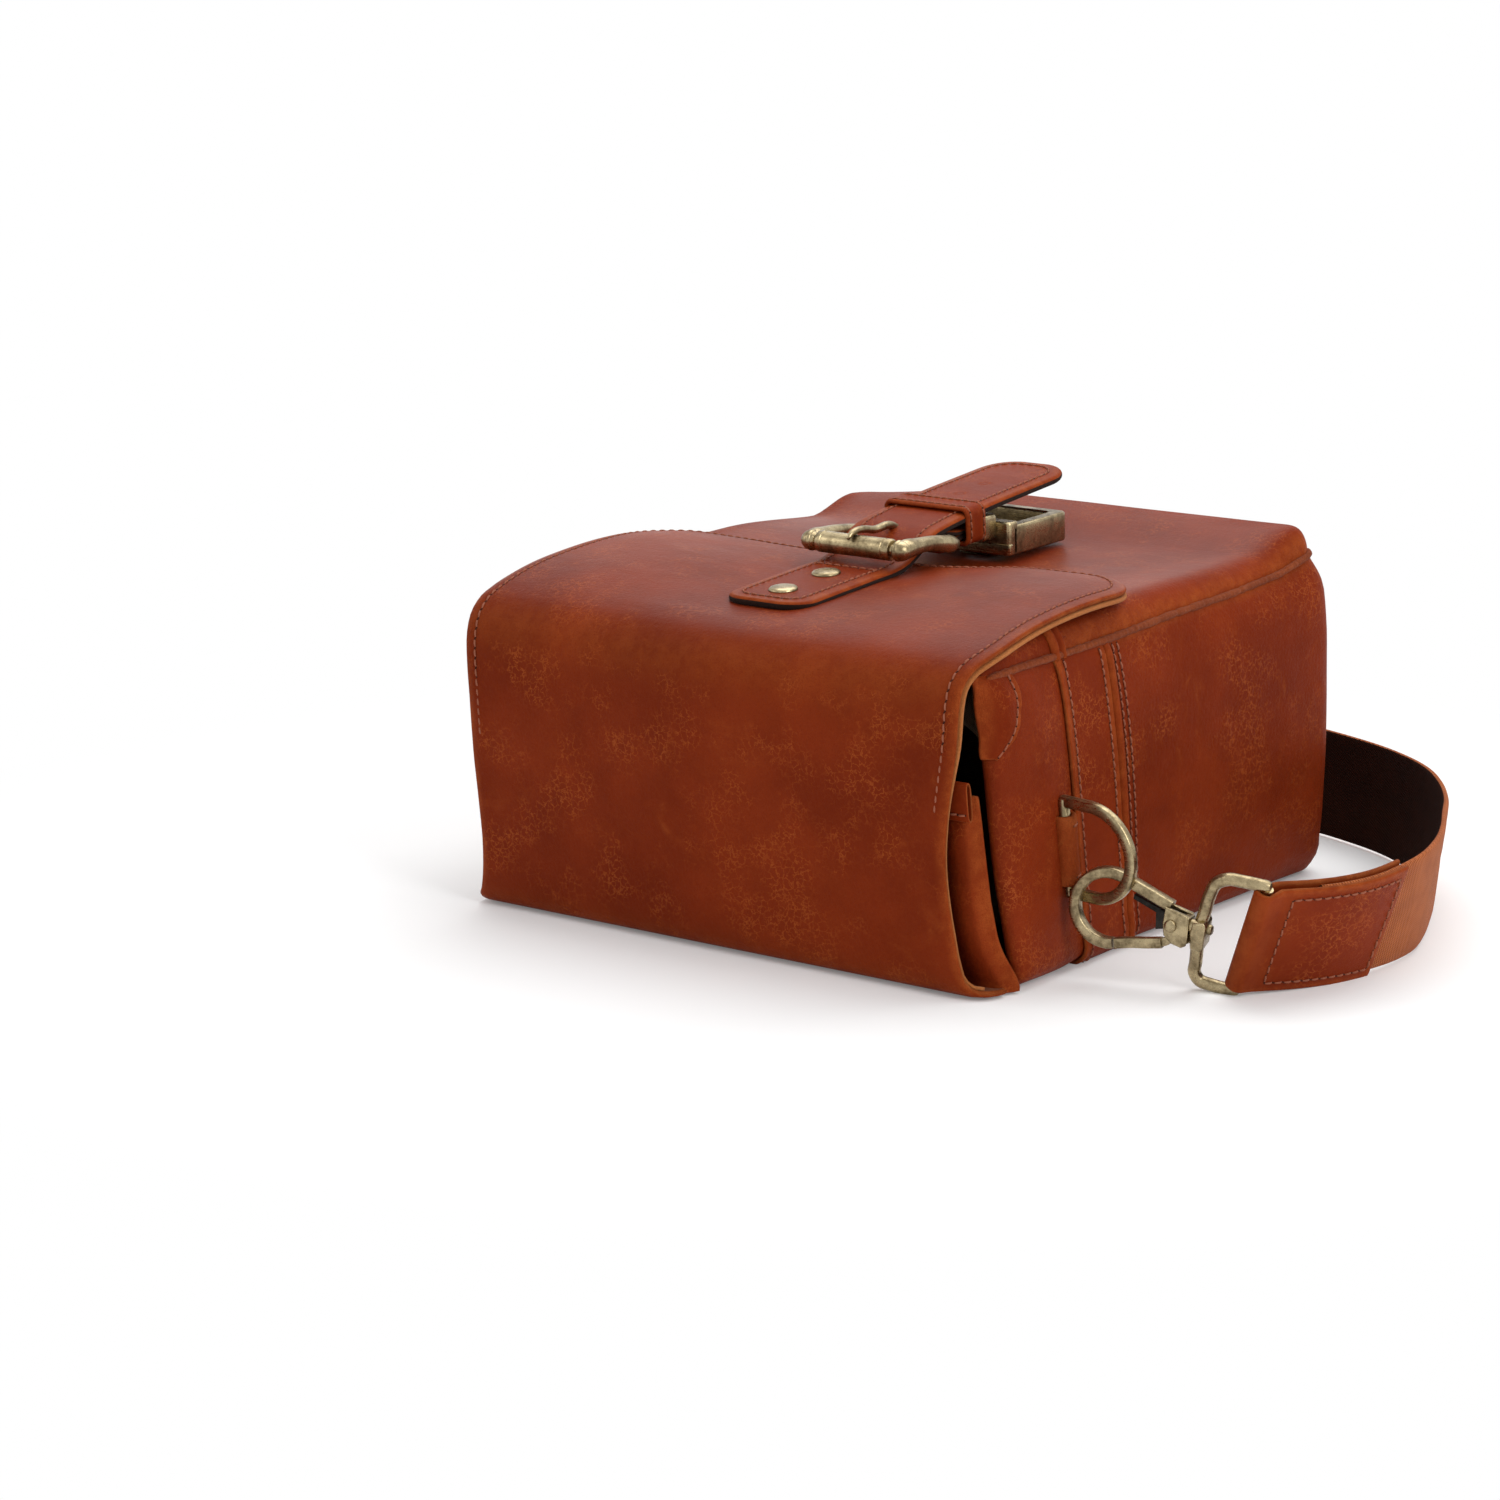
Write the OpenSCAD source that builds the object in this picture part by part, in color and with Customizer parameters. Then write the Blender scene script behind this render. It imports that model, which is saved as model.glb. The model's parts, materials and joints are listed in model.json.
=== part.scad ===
/* [Bag body] */
// Width of the bag across its two sides
bag_width = 208; // [180:1:240]
// Depth of the bag at its base, back panel to front panel
base_depth = 118; // [100:1:140]
// Distance from the rest origin to the outer face of the base
base_reach = 114; // [100:1:126]
// Distance from the rest origin to the back edge of the mouth
mouth_reach = 93; // [80:1:105]
// Slope of the front panel, the bag is deeper at its base
front_slope = 3.8; // [1:0.1:6]
// Slant of the mouth, the collar and its bands
mouth_slant = 8; // [0:0.5:12]
// Rise of the padded front in its middle
front_crown = 1.8; // [1:0.1:2.4]
// Height of the swell of the padded front beside the base
swell_height = 5.4; // [3:0.1:6]
// Length of the swell, from the base towards the clip
swell_length = 42; // [30:1:44]
// Rounding of the edge between the front and the sides
front_round = 18; // [12:1:24]
// Rounding of the edge between the back and the sides
back_round = 10; // [8:0.5:14]
// Rounding of the upright corners at the base
base_round = 14; // [12:1:24]

/* [Leather and padding] */
// Thickness of the body leather
leather = 2; // [1.4:0.1:2.6]
// Thickness of the foam between leather and lining
foam = 4; // [2:0.5:6]
// Thickness of the lining cloth
lining_thick = 1.2; // [0.6:0.1:1.6]
// Length of the collar from the mouth to the band
collar_length = 43.5; // [36:0.5:50]
// Width of the band below the collar
band_width = 27; // [20:0.5:32]
// Thickness of the band, laid on the collar
band_thick = 1.6; // [1.2:0.1:1.8]
// Width of the rolled rim below the band
rim_width = 5; // [3:0.5:8]
// Thickness of the rolled rim
rim_thick = 2.2; // [1.8:0.1:2.6]
// Radius of the welt along the front edges
welt_radius = 1.6; // [1:0.1:2.2]

/* [Flap] */
// Width of the flap
flap_width = 210; // [184:1:244]
// Space between the mouth and the outer face of the flap
flap_stand = 12; // [10:0.5:16]
// Height of the fold over the front edge of the mouth
fold_height = 5.2; // [4:0.1:8]
// Length of the front half from the fold to its edge
flap_length = 113; // [104:1:120]
// Slope of the front half over the front panel, its edge is raised off the body
flap_slope = 1.2; // [1:0.1:2]
// Thickness of the suede layer under the flap leather
suede = 1.4; // [1:0.1:2]
// Radius of the fold
fold_radius = 14; // [10:0.5:18]
// Radius of the bend at the back edge
hinge_radius = 8; // [6:0.5:10]
// Rounding of the corners of the flap
flap_round = 26; // [16:1:34]

/* [Ears and corners] */
// Width of the folded ears beside the mouth
ear_width = 20; // [16:1:24]
// Height of the folded ears beside the mouth
ear_height = 72; // [60:1:80]
// Width of the facings at the front corners of the mouth
corner_width = 24; // [18:1:28]
// Height of the facings at the front corners of the mouth
corner_height = 22; // [16:1:28]

/* [Closing strap and buckle] */
// Width of the closing strap
billet_width = 32; // [28:0.5:36]
// Thickness of the closing strap
billet_thick = 3; // [2.4:0.1:3.4]
// Distance from the fold to the sewn end of the closing strap
billet_start = 33; // [28:0.5:36]
// Distance from the fold to the free end of the closing strap
billet_end = 197; // [190:1:204]
// Width of the folded strap between buckle and clip
chape_width = 28; // [25:0.5:28.5]
// Radius of the buckle roller
roller_radius = 4.5; // [4:0.1:5]
// Radius of the bar in the roller
roller_bar = 2; // [1.6:0.1:2.4]
// Radius of the rivet heads
rivet_radius = 5; // [4:0.1:6]
// Width of the clip
clip_width = 45; // [42:0.5:48]
// Length of the clip
clip_length = 37; // [35:0.5:40]
// Height of the clip at its mouth
clip_height = 12; // [11:0.5:13]

/* [Ring and hook] */
// Clear height of the ring between its legs
ring_inside = 28; // [26:0.5:30]
// Width of the ring metal
ring_metal = 3.2; // [3:0.1:3.4]
// Radius of the ring bar
ring_bar = 1.9; // [1.6:0.1:2]
// Length of the leather tube around the ring bar
tube_length = 24; // [20:0.5:25]
// Clear radius of the hook
hook_inside = 10; // [9.6:0.1:10.4]
// Width of the hook metal
hook_metal = 3.4; // [3:0.1:3.6]
// Thickness of the hook metal
hook_thick = 4; // [3.6:0.1:4.2]
// Radius of the wire of the strap loops
wire_radius = 2; // [1.7:0.1:2.1]

/* [Shoulder strap] */
// Width of the shoulder strap
strap_width = 40; // [38:0.5:41]
// Thickness of the webbing
webbing = 2.2; // [1.8:0.1:2.4]
// Thickness of each leather layer at the strap end
tab_leather = 1.8; // [1.4:0.1:2.2]

/* [Hidden] */
$fn = 64;
half_width = bag_width / 2;
walls = leather + foam + lining_thick;
band_from = -mouth_reach + collar_length;
rim_from = band_from + band_width;
flap_foot = -mouth_reach - flap_stand;
flap_thick = leather + suede;
// the welt lies this far from the middle of the front rounding, both ways
welt_reach = (front_round + welt_radius + 0.05) * sqrt(0.5);
// height of the front panel's middle over the floor, at y and at the mouth
front_height = base_depth + front_crown;
function front_z(y) = front_height / cos(front_slope) + (y - base_reach) * tan(front_slope);
lean = mouth_slant - front_slope;
mouth_top = cos(mouth_slant) / cos(lean)
  * (front_height - (base_reach + mouth_reach) * sin(front_slope));
fold_z = mouth_top + fold_height;
fold_y = flap_foot - fold_z * tan(mouth_slant);
fold_slope = front_slope + flap_slope;
near_length = fold_z / cos(mouth_slant);
fold_turn = 90 + mouth_slant - fold_slope;
fold_tangent = fold_radius * tan(fold_turn / 2);
hinge_turn = 90 - mouth_slant;
hinge_tangent = hinge_radius * tan(hinge_turn / 2);
// places on the flap, measured from the fold along its front half
roller_at = [87.5, 9];
pin_at = [117, 4.8];
pin_radius = 1.9;
frame_x = billet_width / 2 + 4.2;
keeper_at = pin_at[0] + 12;
chape_length = 26;
chape_layer = 1.8;
clip_at = fold_y + (pin_at[0] + chape_length + 4) * cos(fold_slope);
clip_under = front_z(clip_at) + 3.1;
bracket_length = 7;
stud_at = 17;
stud_slide = 4;
// ring bar, hook and strap loop
bar_x = half_width + 4.2;
bar_y = band_from - 14.8;
bar_z = 41.8;
leg_x = 11;
ring_mid = ring_inside / 2 + ring_metal / 2;
ring_out = -6;
hook_turn = 29;
hook_mid = [bar_x + 14.3, bar_y + 1.8, bar_z - 17.5];
hook_from = 58;
hook_to = 252;
pivot = [21.5, -0.6];
gate_foot = pivot - [0, 1];
post_x = 28;
post_radius = 2.2;
loop_bar = 44;
loop_roll = 24;
left_swing = 50;
loop_leg = strap_width / 2 + wire_radius + 0.3;
// shoulder strap on the floor: x, y, height of its lower edge, lean
route = [
  [161.4, -31.6, 5.7, 24], [165.2, -28.9, 5, 24], [170.4, -24, 4, 23], [175.8, -17, 3, 21],
  [180.4, -8.5, 2.2, 19], [183.8, 3, 1.5, 17], [185.4, 16, 0.9, 14], [183.4, 31, 0.6, 11],
  [177.8, 47, 0.5, 9], [170, 65, 0.5, 7], [161, 84, 0.5, 6], [149.5, 104, 0.5, 4],
  [134, 123, 0.5, 3], [113, 140, 0.5, 1], [84, 154, 0.5, 0], [48, 164.5, 0.5, 0],
  [6, 172, 0.5, 0], [-36, 175, 0.5, 0], [-72, 178, 0.5, 0], [-94, 187, 0.5, 0],
  [-103, 203, 0.5, 0], [-97, 219, 0.5, 0], [-78, 227, 0.5, 0], [-26, 231, 0.5, 0],
  [-10, 241, 0.5, 0], [-7, 257, 0.5, 0], [-17, 270, 0.5, 0], [-42, 276, 0.5, 0],
  [-82, 276, 0.5, 0], [-128, 264, 0.5, 0], [-161, 238, 0.5, 0], [-177, 204, 0.5, 0],
  [-180, 166, 0.5, 0], [-174, 128, 0.5, 1], [-164, 98, 0.7, 3], [-152, 72, 1.2, 6],
  [-141, 50, 2.4, 10], [-134, 33, 4.2, 14], [-128.5, 18, 6.8, 17], [-124, 6.5, 9, 19],
  [-121.6, -0.9, 10.2, 19]];
// closing strap: distance from the fold, height of its middle over the flap
billet_rest = billet_thick / 2 + 0.1;
billet_path = [[billet_start, billet_rest], [roller_at[0] - 11.5, billet_rest],
  [roller_at[0] + 0.5, billet_rest + 0.1], [roller_at[0] + 6.5, 2.6], [roller_at[0] + 12.5, 5],
  [pin_at[0] - 11, 7.9], [pin_at[0] - 6, 9.6], [pin_at[0], 10.4], [pin_at[0] + 7, 11],
  [pin_at[0] + 25, 12.2], [pin_at[0] + 48, 13], [billet_end - 14, 13.8], [billet_end, 14.6]];
last = len(route) - 1;

// frame of the front panel: y runs to the base, z stands on the base's lower edge
module tilt() translate([0, base_reach, 0]) rotate([front_slope, 0, 0]) children();

// frame of a plane parallel to the mouth, c is its reach on the back panel
module slant(c) translate([0, c, 0]) rotate([mouth_slant, 0, 0]) children();

module beyond(c) slant(c) translate([-300, 0, -300]) cube([600, 600, 600]);

module between(c, d)
  slant(c) translate([-300, 0, -300]) cube([600, (d - c) * cos(mouth_slant), 600]);

// rounded on two corners at the top edge of the drawing
module round_top(w, r, deep) {
  translate([-w, -deep]) square([2 * w, deep - r]);
  translate([r - w, -deep]) square([2 * (w - r), deep]);
  for (s = [-1, 1]) translate([s * (w - r), -r]) circle(r);
}

module end_profile(i) {
  crown_radius = half_width * half_width / 2 / front_crown;
  intersection() {
    translate([0, front_height - i])
      round_top(half_width - i, front_round - i, 300);
    translate([0, front_height - crown_radius])
      circle(crown_radius - i, $fn = 360);
  }
}

module block(i) intersection() {
  tilt() translate([0, 60, 0]) rotate([90, 0, 0]) linear_extrude(420) end_profile(i);
  tilt() translate([0, 0, -120]) linear_extrude(420)
    translate([0, -i]) round_top(half_width - i, base_round - i, 400);
  inside_back(i);
}

// all that lies in front of the back panel and between its rounded edges
module inside_back(i) translate([0, 200, 0]) rotate([90, 0, 0]) linear_extrude(500)
  translate([0, i]) mirror([0, 1]) round_top(half_width - i, back_round - i, 300);

module shell(i, j) difference() { block(i); block(j); }

// the panels meet the sides and the base on planes at 45 degrees, this far to each side
mitre = 45;

// everything nearer to the front face than to the sides and the base
module front_zone() intersection() {
  tilt() translate([0, 60, 0]) rotate([90, 0, 0]) linear_extrude(420)
    polygon([[-half_width - mitre, front_height + mitre], [half_width + mitre, front_height + mitre],
      [half_width - mitre, front_height - mitre], [mitre - half_width, front_height - mitre]]);
  tilt() translate([-300, 0, 0]) rotate([90, 0, 90]) linear_extrude(600)
    polygon([[-420, front_height + mitre], [mitre, front_height + mitre],
      [-mitre, front_height - mitre], [-420, front_height - mitre]]);
}

module back_zone() intersection() {
  translate([0, 200, 0]) rotate([90, 0, 0]) linear_extrude(500)
    polygon([[-half_width - mitre, -mitre], [half_width + mitre, -mitre],
      [half_width - mitre, mitre], [mitre - half_width, mitre]]);
  translate([-300, 0, 0]) rotate([90, 0, 90]) linear_extrude(600)
    polygon([[-400, -mitre], [base_reach + mitre, -mitre], [base_reach - mitre, mitre],
      [-400, mitre]]);
}

module back_panel() color("saddlebrown") intersection() {
  shell(0, leather);
  back_zone();
  translate([-300, flap_foot + hinge_tangent, -10]) cube([600, 600, 60]);
}

// the padding pushes the front out beside the base, between the two welts
module front_swell() {
  half = half_width - front_round + welt_reach - welt_radius - 1.3;
  from_base = 4;
  top_at = 10;
  run = swell_length - top_at;
  roll = (run * run + swell_height * swell_height) / 2 / swell_height;
  difference() {
    tilt() intersection() {
      rotate([90, 0, 0]) linear_extrude(swell_length)
        translate([0, front_height + swell_height]) round_top(half, 7, 24);
      translate([-half, -top_at, front_height + swell_height - roll]) rotate([0, 90, 0])
        cylinder(r = roll, h = 2 * half, $fn = 360);
      linear_extrude(200) translate([0, -from_base])
        round_top(half, base_round - from_base, swell_length);
    }
    block(leather);
  }
}

module front_panel() color("saddlebrown") {
  intersection() {
    shell(0, leather);
    front_zone();
    beyond(rim_from);
  }
  front_swell();
}

module gusset() color("sienna") difference() {
  intersection() { shell(0, leather); beyond(rim_from); }
  front_zone();
  back_zone();
}

module collar() color("sienna") difference() {
  intersection() { shell(0, leather); between(-mouth_reach, rim_from); }
  back_zone();
}

module waist_band() color("saddlebrown") difference() {
  intersection() { shell(-band_thick, 0); between(band_from, rim_from - 1); }
  back_zone();
}

module rim_roll() color("sienna") difference() {
  intersection() { shell(-rim_thick, 0); between(rim_from, rim_from + rim_width); }
  back_zone();
}

// the welt lies on the rounded front edge, half way round it
module front_welt(side) {
  height = front_height - front_round + welt_reach;
  rim_end = (base_reach - rim_from - rim_width) * cos(mouth_slant) / cos(lean) + height * tan(lean);
  color("peru") tilt()
    translate([side * (half_width - front_round + welt_reach), -base_round - 1, height])
      rotate([90, 0, 0]) cylinder(r = welt_radius, h = rim_end - base_round - 2);
}
module front_welt_left() front_welt(-1);
module front_welt_right() front_welt(1);

module back_foam() color("dimgray") intersection() {
  shell(leather, leather + foam);
  back_zone();
  beyond(-mouth_reach);
}

module front_foam() color("dimgray") intersection() {
  shell(leather, leather + foam);
  front_zone();
  beyond(-mouth_reach);
}

module gusset_foam() color("dimgray") difference() {
  intersection() { shell(leather, leather + foam); beyond(-mouth_reach); }
  front_zone();
  back_zone();
}

module lining() color("tan") intersection() {
  shell(leather + foam, walls);
  beyond(-mouth_reach);
}

// folded ear at each end of the mouth, its upper end is a stitched hem
module ear(side) color("sienna") intersection() {
  slant(-mouth_reach - 4.6) {
    middle = side * (half_width - ear_width / 2 - 2);
    translate([0, leather + 0.4, 0]) rotate([90, 0, 0]) linear_extrude(leather + 0.4)
      translate([middle, ear_height]) round_top(ear_width / 2, 7, ear_height);
    translate([middle + 1 - ear_width / 2, -0.7, ear_height - 14])
      cube([ear_width - 2, leather + 1.8, 8]);
  }
  inside_back(leather + 0.3);
}
module ear_left() ear(-1);
module ear_right() ear(1);

// facing at the front corners of the mouth
module corner_facing(side) color("saddlebrown") slant(-mouth_reach)
  translate([0, -0.1, 0]) rotate([90, 0, 0]) linear_extrude(leather)
    translate([side * (half_width - corner_width / 2 - 2), mouth_top / cos(mouth_slant) - 7.6])
      round_top(corner_width / 2, 10, corner_height);
module corner_left() corner_facing(-1);
module corner_right() corner_facing(1);

// frames of the two halves of the flap, their outer faces lie on the zero planes
module near_frame() slant(flap_foot) children();
module fold_frame() translate([0, fold_y, fold_z]) rotate([fold_slope, 0, 0]) children();

// part of a tube along x, from one angle over a turn, measured from y to z
module bend(from, turn, outer, thick)
  translate([-flap_width / 2, 0, 0]) rotate([90, 0, 90]) rotate([0, 0, from])
    rotate_extrude(angle = turn) translate([outer - thick, 0]) square([thick, flap_width]);

module flap_hinge() color("saddlebrown")
  translate([0, flap_foot + hinge_tangent, hinge_radius])
    bend(270 - hinge_turn, hinge_turn, hinge_radius, leather);

module flap_top(from, thick) near_frame()
  translate([-flap_width / 2, from, hinge_tangent])
    cube([flap_width, thick, near_length - fold_tangent - hinge_tangent]);
module flap_top_leather() color("saddlebrown") flap_top(0, leather);
module flap_top_suede() color("burlywood") flap_top(leather, suede);

module flap_bend() color("saddlebrown") fold_frame()
  translate([0, fold_tangent, -fold_radius]) bend(90, fold_turn, fold_radius, flap_thick);

module flap_front(from, thick) fold_frame() translate([0, flap_length, from])
  linear_extrude(thick) round_top(flap_width / 2, flap_round, flap_length - fold_tangent);
module flap_front_leather() color("saddlebrown") flap_front(-leather, leather);
module flap_front_suede() color("burlywood") flap_front(-flap_thick, suede);

module billet_strap() color("sienna") fold_frame() difference() {
  intersection() {
    translate([-billet_width / 2, 0, 0]) rotate([90, 0, 90]) linear_extrude(billet_width)
      polygon(concat([for (p = billet_path) [p[0], p[1] - billet_thick / 2]],
        [for (i = [len(billet_path) - 1:-1:0]) billet_path[i] + [0, billet_thick / 2]]));
    translate([0, 0, -20]) linear_extrude(60) intersection() {
      translate([0, billet_end]) round_top(billet_width / 2, 13, 180);
      translate([0, billet_start]) mirror([0, 1]) round_top(billet_width / 2, 9, 180);
    }
  }
  translate([0, 0, 2]) linear_extrude(30) {
    translate([-2.5, pin_at[0] - 12]) square([5, 14]);
    for (y = [-12, 2]) translate([0, pin_at[0] + y]) circle(2.5);
  }
  for (y = [33, 48]) translate([0, pin_at[0] + y, 0]) cylinder(r = 2, h = 30);
}

module strap_rivets() color("goldenrod") fold_frame() for (y = [13, 37])
  translate([0, billet_start + y, billet_thick + 0.15]) {
    cylinder(r = rivet_radius, h = 0.8);
    translate([0, 0, 0.8]) cylinder(r1 = rivet_radius, r2 = rivet_radius - 1.2, h = 0.7);
  }

// round bar between two points, its radius may change
module rod(p, q, r, r2) {
  d = q - p;
  translate(p) rotate([0, acos(d[2] / norm(d)), atan2(d[1], d[0])])
    cylinder(r1 = r, r2 = r2, h = norm(d));
}

module buckle_frame() color("darkgoldenrod") fold_frame() {
  for (s = [-1, 1]) {
    near = [s * frame_x, roller_at[0], roller_at[1]];
    mid = [s * (frame_x + 0.4), roller_at[0] + 14, roller_at[1] - 0.6];
    far = [s * (frame_x - 0.4), pin_at[0], pin_at[1]];
    translate(near) sphere(4);
    rod(near, mid, 3.8, 3.3);
    translate(mid) sphere(3.5);
    rod(mid, far, 3.3, 2.7);
    translate(far) sphere(2.9);
  }
  translate([-frame_x, roller_at[0], roller_at[1]]) rotate([0, 90, 0])
    cylinder(r = roller_bar, h = 2 * frame_x);
  translate([-frame_x, pin_at[0], pin_at[1]]) rotate([0, 90, 0])
    cylinder(r = pin_radius, h = 2 * frame_x);
}

module buckle_roller() color("goldenrod") fold_frame()
  translate([4.45 - frame_x, roller_at[0], roller_at[1]]) rotate([0, 90, 0]) difference() {
    cylinder(r = roller_radius, h = 2 * frame_x - 8.9);
    translate([0, 0, -1]) cylinder(r = roller_bar + 0.35, h = 2 * frame_x);
  }

module buckle_prong() color("goldenrod") fold_frame() {
  bend = [[0, pin_at[0] - 3, pin_at[1] + 1.4], [0, pin_at[0] - 9, 11.6], [0, roller_at[0] + 10.5, 14.4],
    [0, roller_at[0], roller_at[1] + roller_radius + 1.9],
    [0, roller_at[0] - 4, roller_at[1] + roller_radius + 1.6]];
  difference() {
    union() {
      translate([-1.8, pin_at[0], pin_at[1]]) rotate([0, 90, 0]) cylinder(r = 3.7, h = 3.6);
      for (i = [0:len(bend) - 2]) {
        rod(bend[i], bend[i + 1], 1.4, 1.4);
        translate(bend[i + 1]) sphere(1.5);
      }
    }
    translate([-3, pin_at[0], pin_at[1]]) rotate([0, 90, 0])
      cylinder(r = pin_radius + 0.35, h = 6);
  }
}

// strap folded round the pin bar, slotted for the prong
module chape_strap() color("sienna") fold_frame() difference() {
  union() {
    translate([-chape_width / 2, pin_at[0], pin_at[1]]) rotate([0, 90, 0])
      cylinder(r = pin_radius + chape_layer + 0.1, h = chape_width);
    translate([-chape_width / 2, pin_at[0], pin_at[1] - chape_layer])
      cube([chape_width, chape_length, 2 * chape_layer]);
  }
  translate([-chape_width / 2 - 1, pin_at[0], pin_at[1]]) rotate([0, 90, 0])
    cylinder(r = pin_radius + 0.1, h = chape_width + 2);
  translate([-2.4, pin_at[0] - 6, pin_at[1] - 6]) cube([4.8, 12, 12]);
}

module keeper_loop() color("saddlebrown") fold_frame()
  translate([0, keeper_at, 8.5]) difference() {
    translate([-billet_width / 2 - 2, 0, -7.5]) cube([billet_width + 4, 10, 15]);
    translate([-billet_width / 2 - 0.4, -1, -5.9]) cube([billet_width + 0.8, 12, 11.8]);
  }

module clip_frame_place()
  translate([0, clip_at, clip_under]) rotate([2, 0, 0]) children();

// channel that grips the end of the folded strap
module clip_bracket() color("darkgoldenrod") clip_frame_place() difference() {
  translate([-chape_width / 2 - 3, -bracket_length, 5.8])
    cube([chape_width + 6, bracket_length - 0.02, 9.2]);
  translate([-chape_width / 2 - 0.3, -bracket_length - 1, 8.4])
    cube([chape_width + 0.6, bracket_length - 1.4, 5]);
}

module clip_frame() color("darkgoldenrod") clip_frame_place() difference() {
  union() {
    linear_extrude(clip_height - 1.5) translate([0, clip_length])
      round_top(clip_width / 2, 6, clip_length);
    translate([-clip_width / 2, 0, 0]) cube([clip_width, 6, clip_height]);
  }
  translate([5 - clip_width / 2, 6.5, -1]) cube([clip_width - 10, clip_length - 11.5, 20]);
}

module clip_plate() color("goldenrod") clip_frame_place() difference() {
  translate([5.05 - clip_width / 2, 6.55, 2.5])
    cube([clip_width - 10.1, clip_length - 11.6, 1.5]);
  translate([0, 0, 1]) linear_extrude(5) {
    for (y = [0, stud_slide]) translate([0, stud_at + y]) circle(6.5);
    translate([-6.5, stud_at]) square([13, stud_slide]);
  }
}

module catch_stud() color("goldenrod") tilt()
  translate([0, (clip_at + stud_at - base_reach) / cos(front_slope) + front_height * tan(front_slope),
      front_height + 0.05]) {
    cylinder(r = 9, h = 1);
    cylinder(r = 5, h = 4);
    translate([0, 0, 4]) cylinder(r1 = 5, r2 = 3.5, h = 1.2);
  }

// leaned frame of the ring bar, x points away from the side of the bag
module bar_frame()
  translate([bar_x, bar_y, bar_z]) rotate([mouth_slant, 0, 0]) children();

// the left ring and hook lie back along the side of the bag
module on_left() mirror([1, 0, 0]) bar_frame() rotate([0, 0, left_swing])
  rotate([-mouth_slant, 0, 0]) translate([-bar_x, -bar_y, -bar_z]) children();

module ring_loop() color("saddlebrown") bar_frame() difference() {
  translate([0, 0, -tube_length / 2]) {
    cylinder(r = ring_bar + 2.05, h = tube_length);
    translate([0.05 - bar_x + half_width, 0, 0]) cube([1.6, 8.4, tube_length]);
  }
  translate([0, 0, -30]) cylinder(r = ring_bar + 0.35, h = 60);
}
module ring_loop_right() ring_loop();
module ring_loop_left() mirror([1, 0, 0]) ring_loop();

module d_ring() color("darkgoldenrod") bar_frame() rotate([0, 0, ring_out]) {
  translate([0, 0, -ring_mid]) cylinder(r = ring_bar, h = 2 * ring_mid);
  for (s = [-1, 1]) translate([-ring_bar, -1.5, s * ring_mid - ring_metal / 2])
    cube([leg_x + ring_bar, 3, ring_metal]);
  translate([leg_x, 0, 0]) rotate([90, 0, 0]) rotate([0, 0, -90]) rotate_extrude(angle = 180)
    translate([ring_inside / 2, -1.5]) square([ring_metal, 3]);
}
module d_ring_right() d_ring();
module d_ring_left() on_left() d_ring();

// x runs from the middle of the hook to the strap, z is the flat of the hook
module hook_frame() translate(hook_mid) rotate([90, 0, hook_turn]) children();

// middle of the hook's metal at an angle from the strap
function on_hook(a) = (hook_inside + hook_metal / 2) * [cos(a), sin(a)];

module hook() color("darkgoldenrod") hook_frame() difference() {
  union() {
    rotate([0, 0, hook_from]) rotate_extrude(angle = hook_to - hook_from)
      translate([hook_inside, -hook_thick / 2]) square([hook_metal, hook_thick]);
    translate(on_hook(hook_from)) rotate([0, 0, -20])
      translate([-1.5, -hook_metal / 2, -hook_thick / 2]) cube([17.5, hook_metal, hook_thick]);
    for (s = [-1, 1]) translate([pivot[0], pivot[1], s * 2.35 - 0.85]) {
      cylinder(r = 4.6, h = 1.7);
      translate([0, -4.6, 0]) cube([4, 9.2, 1.7]);
    }
    translate([25.2, pivot[1] - 4.6, -3.2]) cube([post_x - 25.2, 9.2, 6.4]);
    translate([post_x - 0.5, 0, 0]) rotate([0, 90, 0]) cylinder(r = post_radius, h = 6.7);
    translate([post_x + 6, 0, 0]) rotate([0, 90, 0]) cylinder(r = 3.3, h = 1.4);
  }
  translate([pivot[0], pivot[1], -5]) cylinder(r = 1.35, h = 10);
}
module hook_right() hook();
module hook_left() on_left() hook();

module hook_pin() color("goldenrod") hook_frame() translate([pivot[0], pivot[1], 0]) {
  translate([0, 0, -3.3]) cylinder(r = 1.3, h = 6.6);
  for (s = [-1, 1]) translate([0, 0, s * 3.65 - 0.4]) cylinder(r = 2.3, h = 0.8);
}
module hook_pin_right() hook_pin();
module hook_pin_left() on_left() hook_pin();

module gate() color("goldenrod") hook_frame() difference() {
  reach = on_hook(hook_to) - gate_foot;
  union() {
    translate([pivot[0], pivot[1], -1.2]) cylinder(r = 2.8, h = 2.4);
    translate([gate_foot[0], gate_foot[1], -1.1]) rotate([0, 0, atan2(reach[1], reach[0])])
      translate([0, -1.3, 0]) cube([norm(reach) - 1.6, 2.6, 2.2]);
  }
  translate([pivot[0], pivot[1], -3]) cylinder(r = 1.65, h = 6);
}
module gate_right() gate();
module gate_left() on_left() gate();

module loop_frame() hook_frame() rotate([loop_roll, 0, 0]) children();

// bell of wire, its collar turns on the post of the hook
module wire_loop() color("darkgoldenrod") loop_frame() {
  translate([post_x + 0.5, 0, 0]) rotate([0, 90, 0]) difference() {
    cylinder(r = 4.4, h = 4.9);
    translate([0, 0, -1]) cylinder(r = post_radius + 0.4, h = 8);
  }
  for (s = [-1, 1]) {
    bell = [[31, s * 3.6, 0], [32.5, s * 12, 0], [35, s * 19, 0], [39, s * loop_leg, 0],
      [loop_bar, s * loop_leg, 0]];
    for (i = [0:3]) {
      rod(bell[i], bell[i + 1], wire_radius, wire_radius);
      translate(bell[i + 1]) sphere(wire_radius + 0.12);
    }
  }
  rod([loop_bar, -loop_leg, 0], [loop_bar, loop_leg, 0], wire_radius, wire_radius);
}
module wire_loop_right() wire_loop();
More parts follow.
